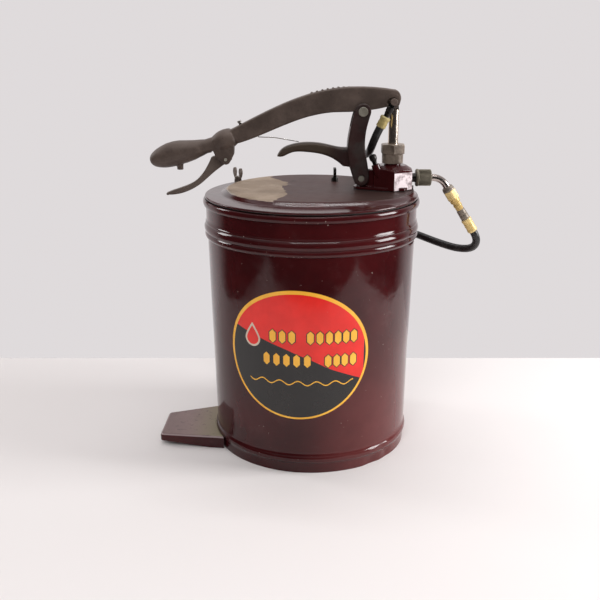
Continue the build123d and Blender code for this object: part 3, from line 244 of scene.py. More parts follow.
# ---- materials ---------------------------------------------------------------------
class Nodes:
    """A small helper round one material's node tree."""

    def __init__(self, name):
        self.material = bpy.data.materials.new(name)
        self.material.use_nodes = True
        self.tree = self.material.node_tree
        self.shader = self.tree.nodes["Principled BSDF"]
        self.place = self.add("ShaderNodeTexCoord").outputs["Object"]

    def add(self, kind, **settings):
        node = self.tree.nodes.new(kind)
        for key, value in settings.items():
            setattr(node, key, value)
        return node

    def link(self, source, target):
        self.tree.links.new(source, target)

    def noise(self, scale, detail=4.0, rough=0.55, stretch=(1, 1, 1), warp=0.0):
        """Noise over the object, scale in cells per metre."""
        mapping = self.add("ShaderNodeMapping")
        mapping.inputs["Scale"].default_value = stretch
        self.link(self.place, mapping.inputs["Vector"])
        texture = self.add("ShaderNodeTexNoise")
        texture.inputs["Scale"].default_value = scale
        texture.inputs["Detail"].default_value = detail
        texture.inputs["Roughness"].default_value = rough
        texture.inputs["Distortion"].default_value = warp
        self.link(mapping.outputs["Vector"], texture.inputs["Vector"])
        return texture.outputs["Fac"]

    def ramp(self, value, low, high):
        """0 below `low`, 1 above `high`, smooth between."""
        node = self.add("ShaderNodeMapRange", interpolation_type="SMOOTHSTEP")
        node.inputs["From Min"].default_value = low
        node.inputs["From Max"].default_value = high
        self.link(value, node.inputs["Value"])
        return node.outputs["Result"]

    def scale(self, value, low, high):
        """Maps 0..1 to low..high."""
        node = self.add("ShaderNodeMapRange")
        node.inputs["To Min"].default_value = low
        node.inputs["To Max"].default_value = high
        self.link(value, node.inputs["Value"])
        return node.outputs["Result"]

    def math(self, operation, first, second=None):
        node = self.add("ShaderNodeMath", operation=operation)
        for socket, value in zip(node.inputs, (first, second)):
            if value is None:
                continue
            if isinstance(value, (int, float)):
                socket.default_value = value
            else:
                self.link(value, socket)
        return node.outputs["Value"]

    def mix(self, amount, first, second):
        """Mixes two colours, each a tuple or a socket."""
        node = self.add("ShaderNodeMix", data_type="RGBA")
        self.link(amount, node.inputs["Factor"])
        for socket, value in ((node.inputs["A"], first), (node.inputs["B"], second)):
            if isinstance(value, tuple):
                socket.default_value = (*value, 1)
            else:
                self.link(value, socket)
        return node.outputs["Result"]

    def axis(self, name):
        """One coordinate of the object, in metres."""
        if not hasattr(self, "split"):
            self.split = self.add("ShaderNodeSeparateXYZ")
            self.link(self.place, self.split.inputs["Vector"])
        return self.split.outputs[name]

    def facing_up(self, low, high):
        """How far the surface faces up."""
        normal = self.add("ShaderNodeSeparateXYZ")
        self.link(self.add("ShaderNodeNewGeometry").outputs["Normal"], normal.inputs["Vector"])
        return self.ramp(normal.outputs["Z"], low, high)

    def worn_edges(self, low=0.52, high=0.60):
        """Where the mesh sticks out."""
        return self.ramp(self.add("ShaderNodeNewGeometry").outputs["Pointiness"], low, high)

    def color(self, value):
        self.set_input("Base Color", value)

    def rough(self, value):
        self.set_input("Roughness", value)

    def metal(self, value):
        self.set_input("Metallic", value)

    def set_input(self, name, value):
        socket = self.shader.inputs[name]
        if isinstance(value, tuple):
            socket.default_value = (*value, 1)
        elif isinstance(value, (int, float)):
            socket.default_value = value
        else:
            self.link(value, socket)

    def bump(self, height, distance, strength=1.0):
        """Bump of a height in millimetres."""
        node = self.add("ShaderNodeBump")
        node.inputs["Distance"].default_value = distance * MM
        node.inputs["Strength"].default_value = strength
        self.link(height, node.inputs["Height"])
        if self.shader.inputs["Normal"].links:
            self.link(self.shader.inputs["Normal"].links[0].from_socket, node.inputs["Normal"])
        self.link(node.outputs["Normal"], self.shader.inputs["Normal"])


MAROON = (0.056, 0.0058, 0.0068)
MAROON_DEEP = (0.034, 0.0036, 0.0044)
DUST = (0.16, 0.085, 0.085)
BARE = (0.40, 0.31, 0.235)


def enamel(name, gloss=0.07):
    """Dark red enamel with a wavy gloss, faint haze and a few pale chips."""
    paint = Nodes(name)
    cloud = paint.noise(9, 5)
    base = paint.mix(paint.ramp(cloud, 0.35, 0.7), MAROON_DEEP, MAROON)
    haze = paint.ramp(paint.noise(38, 6, 0.65), 0.55, 0.80)
    base = paint.mix(paint.math("MULTIPLY", haze, 0.10), base, DUST)
    chips = paint.ramp(paint.noise(260, 3, 0.5), 0.735, 0.76)
    base = paint.mix(chips, base, (0.42, 0.34, 0.30))
    paint.color(base)
    paint.rough(paint.scale(paint.ramp(paint.noise(60, 6, 0.6), 0.35, 0.8), gloss, gloss + 0.11))
    paint.set_input("Specular IOR Level", 0.38)
    paint.bump(paint.noise(14, 3, 0.5), 0.5)
    paint.bump(paint.noise(240, 3, 0.6), 0.02)
    return paint


def cover_paint():
    """The cover: glossy on its slopes, dusty and scratched on top, bare where paint is gone."""
    paint = Nodes("cover_paint")
    x, y = paint.axis("X"), paint.axis("Y")
    base = paint.mix(paint.ramp(paint.noise(9, 5), 0.35, 0.7), MAROON_DEEP, MAROON)
    up = paint.facing_up(0.90, 0.995)
    top = paint.math("MULTIPLY", up, paint.ramp(paint.axis("Z"), 0.4156, 0.4172))
    dust = paint.math("MULTIPLY", top, paint.scale(paint.noise(20, 8, 0.7), 0.45, 1.0))
    base = paint.mix(dust, base, (0.088, 0.052, 0.046))
    paint.set_input("Specular IOR Level", paint.scale(top, 0.5, 0.12))
    grease = paint.math("MULTIPLY", top, paint.ramp(x, 0.035, 0.085))
    base = paint.mix(paint.math("MULTIPLY", grease, 0.7), base, (0.036, 0.021, 0.018))
    spots = paint.math("MULTIPLY", top, paint.ramp(paint.noise(90, 5, 0.6), 0.60, 0.72))
    base = paint.mix(spots, base, (0.032, 0.021, 0.020))
    streaks = paint.noise(44, 7, 0.7, (0.35, 1.2, 1))
    rubs = paint.math("MULTIPLY", top, paint.ramp(streaks, 0.62, 0.74))
    base = paint.mix(paint.math("MULTIPLY", rubs, 0.7), base, (0.25, 0.185, 0.18))
    # the peeled patch fills the plateau's left end, up to a ragged edge
    edge = paint.math("ADD", x, paint.scale(paint.noise(30, 6, 0.62), -0.021, 0.021))
    edge = paint.math("ADD", edge, paint.math("MULTIPLY", paint.ramp(y, 0.055, 0.120), 0.022))
    edge = paint.math("ADD", edge, paint.math("MULTIPLY", paint.ramp(y, -0.060, -0.125), 0.014))
    peeled = paint.math("LESS_THAN", edge, -0.0435)
    lip = paint.math("ADD", paint.axis("Z"), paint.scale(paint.noise(40, 5), -0.0010, 0.0010))
    peeled = paint.math("MULTIPLY", peeled, paint.math("GREATER_THAN", lip, 0.4166))
    bare = paint.mix(paint.ramp(paint.noise(30, 7, 0.65), 0.35, 0.7), (0.30, 0.225, 0.165), BARE)
    stains = paint.ramp(paint.noise(120, 5, 0.6), 0.64, 0.72)
    bare = paint.mix(stains, bare, (0.17, 0.11, 0.08))
    base = paint.mix(peeled, base, bare)
    paint.color(base)
    rough = paint.scale(top, 0.17, 0.46)
    rough = paint.math("ADD", rough, paint.scale(peeled, 0.0, 0.12))
    paint.rough(paint.math("ADD", rough, paint.scale(paint.noise(70, 6), -0.05, 0.07)))
    paint.bump(paint.noise(13, 3), 0.5)
    paint.bump(paint.math("MULTIPLY", peeled, -1.0), 0.12)
    paint.bump(paint.noise(300, 4), 0.03)
    return paint.material


def worn_step_paint():
    """The footrest: enamel at its edges, trodden to tan and green-grey on top, with a painted
    highlight as a pale line along its rounded edges.
    """
    paint = enamel("footrest_paint")
    base = paint.shader.inputs["Base Color"].links[0].from_socket
    top = paint.facing_up(0.90, 0.985)
    x = paint.axis("X")
    inward = paint.ramp(x, -0.262, -0.165)
    inward = paint.scale(inward, 0.6, 1.15)
    patches = paint.scale(paint.noise(34, 7, 0.7), 0.45, 1.45)
    trodden = paint.math("MULTIPLY", inward, patches)
    trodden = paint.math("MULTIPLY", top, paint.math("MINIMUM", trodden, 1.0))
    tan = paint.mix(paint.ramp(x, -0.215, -0.150), (0.25, 0.170, 0.160), (0.235, 0.195, 0.125))
    base = paint.mix(trodden, base, tan)
    spots = paint.math("MULTIPLY", top, paint.ramp(paint.noise(95, 5, 0.6), 0.58, 0.68))
    base = paint.mix(paint.math("MULTIPLY", spots, 0.75), base, (0.10, 0.062, 0.055))
    # painted highlight: the rounded slopes between the flat top and the sides (the rim mask) get a
    # pale line
    not_flat = paint.math("SUBTRACT", 1.0, paint.facing_up(0.84, 0.97))
    rim = paint.math("MULTIPLY", paint.facing_up(0.30, 0.62), not_flat)
    base = paint.mix(paint.math("MULTIPLY", rim, 0.6), base, (0.50, 0.40, 0.40))
    paint.color(base)
    paint.rough(paint.scale(trodden, 0.17, 0.55))
    return paint.material


def cast_metal(name, dark, light, shine, metallic, edge, red=0.0, rubbed=None):
    """A worn cast metal: darker in its hollows and paler along its worn edges, with painted light
    making it paler on top. `red` leaves some paint on it, and `rubbed` is the colour of its bare
    left end."""
    iron = Nodes(name)
    base = iron.mix(iron.ramp(iron.noise(24, 7, 0.65), 0.30, 0.70), dark, light)
    if red:
        paint = iron.ramp(iron.noise(36, 6, 0.6), 0.42, 0.62)
        base = iron.mix(iron.scale(paint, 0.0, red), base, MAROON)
    if rubbed:
        base = iron.mix(iron.ramp(iron.axis("X"), 0.048, 0.012), base, rubbed)
    # painted light: faces that look up are mixed towards the pale edge colour, as if lit from above
    top = iron.facing_up(0.2, 1.0)
    base = iron.mix(iron.scale(top, 0.0, 0.45), base, edge)
    base = iron.mix(iron.math("MULTIPLY", iron.worn_edges(), 0.65), base, edge)
    pits = iron.ramp(iron.noise(330, 4, 0.6), 0.62, 0.72)
    base = iron.mix(iron.math("MULTIPLY", pits, 0.5), base, (0.022, 0.017, 0.015))
    iron.color(base)
    iron.metal(metallic)
    iron.set_input("Specular IOR Level", 0.3)
    iron.rough(iron.scale(iron.noise(110, 6, 0.65), shine - 0.10, shine + 0.16))
    iron.bump(iron.noise(420, 5, 0.6), 0.10)
    iron.bump(iron.noise(70, 3), 0.20)
    return iron.material


def bright_metal(name, clean, grime, amount, shine, scale=60, stretch=(1, 1, 1)):
    """Bare metal with grime in patches."""
    metal = Nodes(name)
    patches = metal.noise(scale, 7, 0.7, stretch)
    dirty = metal.ramp(patches, 0.72 - amount * 0.4, 0.86 - amount * 0.25)
    base = metal.mix(dirty, clean, grime)
    metal.color(base)
    metal.metal(metal.scale(dirty, 1.0, 0.35))
    rough = metal.scale(dirty, shine, shine + 0.32)
    metal.rough(metal.math("ADD", rough, metal.scale(metal.noise(300, 4), -0.05, 0.06)))
    metal.bump(metal.noise(520, 4), 0.05)
    metal.bump(dirty, 0.04)
    return metal.material


def rubber(name, base=(0.013, 0.012, 0.012), shine=0.38):
    """Black rubber with a dusty bloom."""
    skin = Nodes(name)
    bloom = skin.ramp(skin.noise(80, 6, 0.65), 0.45, 0.75)
    skin.color(skin.mix(skin.math("MULTIPLY", bloom, 0.5), base, (0.055, 0.050, 0.047)))
    skin.rough(skin.scale(bloom, shine, shine + 0.25))
    skin.bump(skin.noise(700, 3), 0.05)
    return skin.material


def flat_paint(name, tint, shade, gloss=0.09):
    """One colour of the decal, slightly uneven and rubbed."""
    paint = Nodes(name)
    base = paint.mix(paint.ramp(paint.noise(30, 5), 0.3, 0.75), shade, tint)
    rubs = paint.ramp(paint.noise(150, 4, 0.6), 0.73, 0.76)
    base = paint.mix(paint.math("MULTIPLY", rubs, 0.6), base, (0.55, 0.36, 0.33))
    paint.color(base)
    paint.rough(paint.scale(paint.noise(50, 5), gloss, gloss + 0.10))
    paint.bump(paint.noise(14, 3, 0.5), 0.5)
    return paint.material


def head_with_painted_highlight():
    """The pump head: enamel, with a patchy whitish painted highlight on its front right flat."""
    paint = enamel("head_paint", 0.15)
    base = paint.shader.inputs["Base Color"].links[0].from_socket
    # painted highlight: the flat facing front right, below the head's top, is whitened in patches;
    # the mask named rubbed carries it
    facing = paint.add("ShaderNodeVectorMath", operation="DOT_PRODUCT")
    paint.link(paint.add("ShaderNodeNewGeometry").outputs["Normal"], facing.inputs[0])
    facing.inputs[1].default_value = (0.5, -0.866, 0)
    rubbed = paint.ramp(facing.outputs["Value"], 0.93, 0.985)
    cloud = paint.scale(paint.ramp(paint.noise(95, 5, 0.6), 0.34, 0.58), 0.30, 0.98)
    low = paint.ramp(paint.axis("Z"), 0.4472, 0.4460)
    rubbed = paint.math("MULTIPLY", paint.math("MULTIPLY", rubbed, cloud), low)
    paint.color(paint.mix(rubbed, base, (0.92, 0.80, 0.82)))
    return paint.material


def pail_enamel():
    """The pail's enamel, paler red low down on its right: partly a dusty bloom, partly painted
    light.
    """
    paint = enamel("pail_paint")
    base = paint.shader.inputs["Base Color"].links[0].from_socket
    # partly dust, partly painted light: the lower right of the wall is mixed towards a brighter
    # red, in patches (the bloom mask)
    low = paint.ramp(paint.axis("Z"), 0.270, 0.050)
    right = paint.ramp(paint.axis("X"), -0.040, 0.125)
    bloom = paint.math("MULTIPLY", low, right)
    bloom = paint.math("MULTIPLY", bloom, paint.scale(paint.noise(17, 6, 0.6), 0.30, 0.75))
    paint.color(paint.mix(bloom, base, (0.185, 0.050, 0.048)))
    return paint.material


pail_paint = pail_enamel()
head_paint = head_with_painted_highlight()
top_paint = cover_paint()
step_paint = worn_step_paint()
# cast metals: dark, light, roughness, how metallic, edge colour (also painted on upward faces as
# painted light)
lever_iron = cast_metal(
    "lever_iron", (0.066, 0.047, 0.039), (0.115, 0.084, 0.070), 0.44, 0.12, (0.21, 0.165, 0.145))
grip_iron = cast_metal(
    "grip_iron", (0.085, 0.063, 0.053), (0.145, 0.112, 0.095), 0.42, 0.15, (0.26, 0.21, 0.185))
link_iron = cast_metal(
    "link_iron", (0.036, 0.026, 0.024), (0.066, 0.050, 0.046), 0.38, 0.3, (0.17, 0.15, 0.14),
    red=0.35, rubbed=(0.082, 0.060, 0.045))
pin_steel = cast_metal(
    "pin_steel", (0.16, 0.145, 0.115), (0.33, 0.31, 0.26), 0.36, 0.3, (0.46, 0.43, 0.37))
nut_metal = cast_metal(
    "nut_metal", (0.095, 0.072, 0.056), (0.33, 0.26, 0.21), 0.33, 0.25, (0.48, 0.41, 0.34))
outlet_metal = cast_metal(
    "outlet_metal", (0.075, 0.062, 0.045), (0.155, 0.135, 0.100), 0.42, 0.45, (0.30, 0.27, 0.21))
sleeve_metal = cast_metal(
    "sleeve_metal", (0.13, 0.105, 0.085), (0.24, 0.20, 0.165), 0.4, 0.4, (0.34, 0.29, 0.24))
brass = cast_metal(
    "brass", (0.40, 0.255, 0.075), (0.78, 0.57, 0.23), 0.32, 0.2, (0.88, 0.70, 0.36))
pale_brass = cast_metal(
    "pale_brass", (0.26, 0.20, 0.07), (0.56, 0.45, 0.19), 0.32, 0.3, (0.70, 0.60, 0.32))
# bare metals: clean, grime, how much grime, roughness
steel = bright_metal("steel", (0.52, 0.49, 0.46), (0.12, 0.085, 0.06), 0.45, 0.22)
rod_steel = bright_metal(
    "rod_steel", (0.70, 0.60, 0.52), (0.21, 0.145, 0.10), 0.42, 0.22, 40, (1, 1, 0.2))
elbow_steel = bright_metal("elbow_steel", (0.46, 0.40, 0.37), (0.22, 0.14, 0.11), 0.4, 0.22)
black_steel = bright_metal("black_steel", (0.055, 0.050, 0.048), (0.016, 0.013, 0.012), 0.6, 0.3)
hose_skin = rubber("hose_skin")
seal = rubber("seal", (0.02, 0.016, 0.014), 0.6)
gold = flat_paint("decal_gold", (0.98, 0.52, 0.055), (0.90, 0.44, 0.04))
red = flat_paint("decal_red", (0.84, 0.024, 0.016), (0.72, 0.018, 0.012))
black = flat_paint("decal_black", (0.018, 0.016, 0.015), (0.012, 0.011, 0.011))
cream = flat_paint("decal_cream", (0.70, 0.60, 0.48), (0.62, 0.50, 0.40))


def dress(piece, material):
    """One material over a whole piece."""
    piece.data.materials.clear()
    piece.data.materials.append(material)
    return piece


def dress_node(name, material):
    """A CAD node keeps its shape and gets a material."""
    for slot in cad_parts[name].material_slots:
        slot.material = material


# ---- hose --------------------------------------------------------------------------
hose_start = OUTLET_END + HOSE_DROP * HOSE_FITTING_LENGTH * MM
hose_end = NOZZLE_TOP + NOZZLE_AXIS * NOZZLE_LENGTH * MM
HOSE_ROUTE = [
    hose_start,
    hose_start + HOSE_DROP * 8 * MM,
    at(268.3, 3.2, 332.4),
    at(267.4, 9.8, 323.0),
    at(261.6, 18.2, 316.2),
    at(251.5, 27.8, 313.2),
    at(237.0, 40.0, 312.8),
    at(215.0, 59.0, 316.5),
    at(192.0, 82.0, 321.5),
    at(172.0, 108.0, 324.5),
    at(152.0, 136.0, 326.0),
    at(132.0, 162.0, 331.0),
    at(115.0, 181.0, 345.0),
    at(103.0, 192.0, 367.0),
    at(95.5, 194.0, 394.0),
    at(91.0, 186.0, 420.5),
    at(88.5, 167.0, 441.0),
    at(88.0, 141.0, 452.0),
    at(88.5, 113.0, 456.0),
    at(89.5, 86.0, 460.0),
    at(90.8, 60.0, 464.5),
    at(92.0, 37.0, 469.5),
    at(93.0, 17.0, 475.5),
    at(93.9, 2.0, 482.5),
    at(95.4, -8.0, 490.5),
    at(97.9, -14.6, 499.0),
    hose_end + NOZZLE_AXIS * 9 * MM,
    hose_end,
]


def smooth_line(points):
    """Points of the NURBS spline that has `points` as its control points."""
    curve = bpy.data.curves.new("route", "CURVE")
    curve.dimensions = "3D"
    curve.resolution_u = 8
    spline = curve.splines.new("NURBS")
    spline.points.add(len(points) - 1)
    for control, point in zip(spline.points, points):
        control.co = (*point, 1)
    spline.order_u = 3
    spline.use_endpoint_u = True
    carrier = bpy.data.objects.new("route", curve)
    bpy.context.scene.collection.objects.link(carrier)
    mesh = bpy.data.meshes.new_from_object(carrier)
    line = [vertex.co.copy() for vertex in mesh.vertices]
    bpy.data.objects.remove(carrier)
    bpy.data.curves.remove(curve)
    bpy.data.meshes.remove(mesh)
    return line


def add_hose():
    line = smooth_line(HOSE_ROUTE)
    hose = sweep("hose_tube", line, HOSE_RADIUS)
    dress(hose, hose_skin)
    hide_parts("hose")
    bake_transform(hose)


# ---- pail --------------------------------------------------------------------------
def pail_wall(inset):
    """The wall's outline from the floor to the collar, as (radius, height)."""
    skirt = (SKIRT_R, SKIRT_H)
    base = (BASE_R, BASE_Z)
    neck = (NECK_R, NECK_Z)
    groove = (NECK_R + 2.5, NECK_Z + 10)
    crest = (NECK_R + 2.4, NECK_Z + 23.3)
    points = [(SKIRT_R, 0)]
    points += straight(points[-1], skirt, 5)
    points += arc(skirt, (SKIRT_R + 3.4, SKIRT_H + 6.5), base, 9)
    points += straight(base, neck, 44)
    points += arc(neck, (NECK_R + 4.2, NECK_Z + 5), groove, 7)
    points += arc(groove, (NECK_R + 5.0, NECK_Z + 17), crest, 10)
    points += arc(crest, (NECK_R + 3.0, NECK_Z + 25.3), (COLLAR_R, NECK_Z + 27.5), 4)
    points += straight(points[-1], (COLLAR_R, RIM_Z), 6)
    return [(r - inset, z) for r, z in points]


def pail_outline():
    """The whole section: outer wall, wired rim, inner wall."""
    outer = pail_wall(0)
    rim = arc((COLLAR_R, RIM_Z), (COLLAR_R + 2.2, RIM_Z - 1), (171.0, RIM_Z + 1.2), 4)
    rim += arc(rim[-1], (171.6, RIM_Z + 4.3), (170.9, RIM_TOP - 1.9), 5)
    rim += arc(rim[-1], (168.6, RIM_TOP), (166.0, RIM_TOP - 1.8), 6)
    return outer + rim + list(reversed(pail_wall(PAIL_SHEET)))


DENTS = [
    # azimuth in degrees from -Y towards +X, height, size across and up, depth
    (37.0, 5.0, 12.0, 8.0, 2.6),
    (50.0, 8.0, 9.0, 8.0, 2.4),
    (45.0, 24.0, 9.0, 4.0, 1.5),
    (20.0, 23.0, 12.0, 4.0, 0.7),
    (-34.0, 28.0, 10.0, 5.0, 0.6),
    (72.0, 150.0, 34.0, 40.0, 0.9),
    (-120.0, 210.0, 40.0, 50.0, 1.1),
    (150.0, 120.0, 30.0, 26.0, 1.3),
]
SEAM_AZIMUTH = 180.0
SEAM_HALF_WIDTH = 4.0
SEAM_HEIGHT = 0.55


def dent_depth(azimuth, radius, z):
    """How far the wall is knocked in at a place, in millimetres."""
    depth = 0.0
    for place, height, across, up, amount in DENTS:
        away = radians((azimuth - place + 180) % 360 - 180) * radius
        depth += amount * 2.718 ** (-((away / across) ** 2) - ((z - height) / up) ** 2)
    return depth


def wall_ripple(way, z):
    """The wall's slow unevenness."""
    return 0.35 * noise.noise(Vector((way.x * 2.2, way.y * 2.2, z / 95)))


def add_pail():
    rings = []
    segments = 384
    for radius, z in pail_outline():
        ring = []
        for i in range(segments):
            azimuth = 360 * i / segments
            angle = radians(azimuth)
            way = Vector((sin(angle), -cos(angle), 0))
            r = radius - dent_depth(azimuth, radius, z)
            r += wall_ripple(way, z)
            off_seam = abs(radians((azimuth - SEAM_AZIMUTH + 180) % 360 - 180)) * radius
            if BASE_Z < z < NECK_Z and off_seam < SEAM_HALF_WIDTH and radius > NECK_R - 9:
                r += SEAM_HEIGHT
            ring.append(at(way.x * r, way.y * r, z))
        rings.append(ring)
    rings.append(rings[0])
    shell = loft("pail_shell", rings, caps=False, sharp=50)
    dress(shell, pail_paint)
    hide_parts("can_body")
    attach(shell, "can")


add_pail()


# ---- decal -------------------------------------------------------------------------
DECAL_ARC, DECAL_Z = -23.7, 194.1
DECAL_WIDE, DECAL_HIGH, DECAL_RING, DECAL_DROP = 112.8, 102.6, 4.4, 1.4
DECAL_ROLL = 161.5
LOW_LIFT, HIGH_LIFT = 0.36, 0.46
BAR_HALF_WIDTH = 4.9
WAVE_START, WAVE_LENGTH = -100, 165
WAVE_Z, WAVE_SWING, WAVE_PACE, WAVE_HALF = 151, 3.2, 4.5, 0.9
DROP_ARC, DROP_Z = -93.5, 216


def wall_skin(azimuth, z):
    """Radius of the painted wall between the base bead and the neck."""
    share = (z - BASE_Z) / (NECK_Z - BASE_Z)
    radius = BASE_R + (NECK_R - BASE_R) * share
    way = Vector((sin(radians(azimuth)), -cos(radians(azimuth)), 0))
    return radius - dent_depth(azimuth, radius, z) + wall_ripple(way, z)


def decal_patch(name, material, arcs, bottom, top, lift):
    """Print on the wall over a run of arc lengths, between two curves over arc length."""
    rows = 1 + int(max(top(a) - bottom(a) for a in arcs) / 7)
    rings = []
    for arc_length in arcs:
        azimuth = arc_length / DECAL_ROLL * 180 / pi
        low, high = bottom(arc_length), top(arc_length)
        ring = []
        for i in range(rows + 1):
            z = low + (high - low) * i / rows
            r = wall_skin(azimuth, z) + lift
            ring.append(at(sin(radians(azimuth)) * r, -cos(radians(azimuth)) * r, z))
        rings.append(ring)
    patch = loft(name, rings, closed=False, caps=False)
    dress(patch, material)
    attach(patch, "can")
    return patch


def between(start, end, count):
    """Arc lengths from start to end, closer together at both ends."""
    return [(start + end) / 2 - (end - start) / 2 * cos(pi * i / count) for i in range(count + 1)]


def oval(wide, high, middle):
    """The oval's lower and upper curve."""
    def half(arc_length):
        return high * max(1 - ((arc_length - DECAL_ARC) / wide) ** 2, 0) ** 0.5
    return (lambda a: middle - half(a)), (lambda a: middle + half(a))


SPLIT_LINE = (
    (-140, 238), (-118, 230), (-74, 216), (-41, 205), (2, 187), (27, 174), (76, 154), (100, 144),
)


def split_height(arc_length):
    """Height of the slanting line between the red and the black field."""
    for (a, low), (b, high) in zip(SPLIT_LINE, SPLIT_LINE[1:]):
        if arc_length <= b:
            return low + (high - low) * (arc_length - a) / (b - a)
    return SPLIT_LINE[-1][1]


def add_bar(name, centre, z, wide, high):
    """An upright gold bar with pointed ends and a dark outline, in place of a letter."""
    for part, material, grow, lift in (
        ("edge", black, 1.3, LOW_LIFT),
        ("face", gold, 0.0, HIGH_LIFT),
    ):
        w, h = wide + grow, high + grow

        def reach(a, w=w, h=h):
            return h * (1 - 0.45 * min(abs(a - centre) / w, 1))
        decal_patch(f"{name}_{part}", material, [centre + w * (i / 4 - 1) for i in range(9)],
                    lambda a: z - reach(a), lambda a: z + reach(a), lift)


def add_decal():
    low, high = oval(DECAL_WIDE, DECAL_HIGH, DECAL_Z)
    ends = DECAL_ARC - DECAL_WIDE, DECAL_ARC + DECAL_WIDE
    decal_patch("decal_ring", gold, between(*ends, 96), low, high, 0.12)
    low, high = oval(DECAL_WIDE - DECAL_RING, DECAL_HIGH - DECAL_RING, DECAL_Z - DECAL_DROP)
    ends = ends[0] + DECAL_RING, ends[1] - DECAL_RING
    decal_patch("decal_lower_field", black, between(*ends, 96), low, high, 0.20)
    decal_patch("decal_upper_field", red, between(ends[0] + 0.8, ends[1] - 3.5, 96),
                lambda a: min(max(split_height(a), low(a)), high(a)), high, 0.28)
    rows = (
        (224.0, 10.6, (-59.5, -44.5, -30.0)),
        (224.0, 10.6, (-2.5, 11.5, 25.5, 38.5, 51.0, 63.5)),
        (187.0, 10.4, (-70.0, -54.0, -38.5, -23.0, -7.0)),
        (187.0, 10.4, (24.0, 37.0, 49.5, 63.0)),
    )
    for group, (z, half_height, centres) in enumerate(rows):
        for i, centre in enumerate(centres):
            add_bar(f"decal_bar_{group}_{i}", centre, z, BAR_HALF_WIDTH, half_height)
    wave = [WAVE_START + i for i in range(WAVE_LENGTH)]
    decal_patch("decal_wave", gold, wave,
                lambda a: WAVE_Z + WAVE_SWING * sin(a / WAVE_PACE) - WAVE_HALF,
                lambda a: WAVE_Z + WAVE_SWING * sin(a / WAVE_PACE) + WAVE_HALF, LOW_LIFT)
    for part, material, r, tip, lift in (
        ("rim", cream, 13.5, 24.5, LOW_LIFT),
        ("fill", red, 10.5, 19.5, HIGH_LIFT),
    ):
        decal_patch(f"decal_drop_{part}", material, between(DROP_ARC - r, DROP_ARC + r, 20),
                    lambda a: DROP_Z - max(r * r - (a - DROP_ARC) ** 2, 0) ** 0.5,
                    lambda a: DROP_Z + tip * (1 - abs(a - DROP_ARC) / r) ** 0.75, lift)


add_decal()


# ---- cover -------------------------------------------------------------------------
def smoothstep(value, low, high):
    t = min(max((value - low) / (high - low), 0.0), 1.0)
    return t * t * (3 - 2 * t)


def plateau_distance(x, y):
    """Distance outside the plateau's outline, the hull of two discs."""
    (x0, y0, r0), (x1, y1, r1) = PLATEAU_DISCS
    best = 1e9
    for i in range(13):
        t = i / 12
        across, up = x - x0 - (x1 - x0) * t, y - y0 - (y1 - y0) * t
        best = min(best, hypot(across, up) - r0 - (r1 - r0) * t)
    return best


def cover_height(x, y):
    """Height of the cover's top."""
    d = plateau_distance(x, y) / PLATEAU_SLOPE_WIDTH
    fall = 0.55 * min(max(d, 0), 1) + 0.45 * smoothstep(d, 0, 1)
    rise = (PLATEAU_Z - COVER_Z) * (1 - fall) * (1 - smoothstep(hypot(x, y), 161.5, 166.0))
    waves = 0.4 * noise.noise(Vector((x / 42, y / 42, 3.1))) * smoothstep(158 - hypot(x, y), 0, 30)
    return COVER_Z + rise + waves * 0.6


def add_cover():
    segments = 288
    radii = [2 + 3.3 * i for i in range(36)]
    radii += [radii[-1] + 1.35 * (i + 1) for i in range(36)]
    radii = [r for r in radii if r < COVER_R - 2.4] + [COVER_R - 2.2, COVER_R - 1.6]
    top, under = [], []
    for radius in radii:
        ways = [(cos(2 * pi * i / segments), sin(2 * pi * i / segments)) for i in range(segments)]
        heights = [cover_height(radius * x, radius * y) for x, y in ways]
        top.append([at(radius * x, radius * y, z) for (x, y), z in zip(ways, heights)])
        under.append([point - at(0, 0, COVER_SHEET) for point in top[-1]])
    crown = COVER_R - 1.6, COVER_Z
    rounding = arc(crown, (COVER_R - 0.45, COVER_Z - 0.5), (COVER_R, COVER_Z - 1.7), 4)
    lip = rounding + [(COVER_R, COVER_Z - COVER_EDGE + 0.4), (COVER_R - 0.4, COVER_Z - COVER_EDGE),
                      (COVER_R - 1.4, COVER_Z - COVER_EDGE), (COVER_R - 1.6, COVER_Z - COVER_SHEET)]
    edge = [[at(r * x, r * y, z) for x, y in ways] for r, z in lip]
    rings = top + edge + list(reversed(under[:-1]))
    plate = loft("cover_plate", rings, sharp=50)
    dress(plate, top_paint)
    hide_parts("cover")
    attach(plate, "cover")


add_cover()


# ---- castings ----------------------------------------------------------------------
GRIP_FACETS = 40
GRIP_SECTIONS = (
    # measured stations: place along X, height of the middle, half height
    (-252.8, 466.8, 0.8),
    (-251.1, 467.5, 4.9),
    (-247.6, 467.8, 8.7),
    (-243.0, 468.5, 11.8),
    (-236.0, 469.5, 15.3),
    (-227.1, 471.6, 17.7),
    (-216.6, 473.4, 19.0),
    (-206.1, 475.0, 18.9),
    (-193.8, 476.6, 17.4),
    (-181.5, 479.2, 15.2),
    (-167.5, 483.2, 12.2),
    (-156.9, 486.8, 9.7),
    (-148.2, 489.2, 9.0),
    (-135.9, 493.0, 10.3),
    (-121.9, 498.0, 11.5),
    (-107.9, 503.2, 12.0),
    (-94.0, 508.4, 12.3),
)


def grip_core():
    """The grip's swell and the neck that runs through the trigger's yoke into the lever."""
    rings = []
    turns = [2 * pi * i / GRIP_FACETS for i in range(GRIP_FACETS)]
    for x, z, half in GRIP_SECTIONS:
        wide = min(0.95 * half, half if x < -170 else LEVER_HALF)
        rings.append([at(x, wide * sin(turn), z + half * cos(turn)) for turn in turns])
    return loft("grip_core", rings)


RIBS_FROM, RIBS_TO, RIB_PITCH = -2.0, 64.0, 8.25
RIB_HALF_LENGTH, RIB_HEIGHT = 7.5, 1.5
LEVER_TOP = 575.3


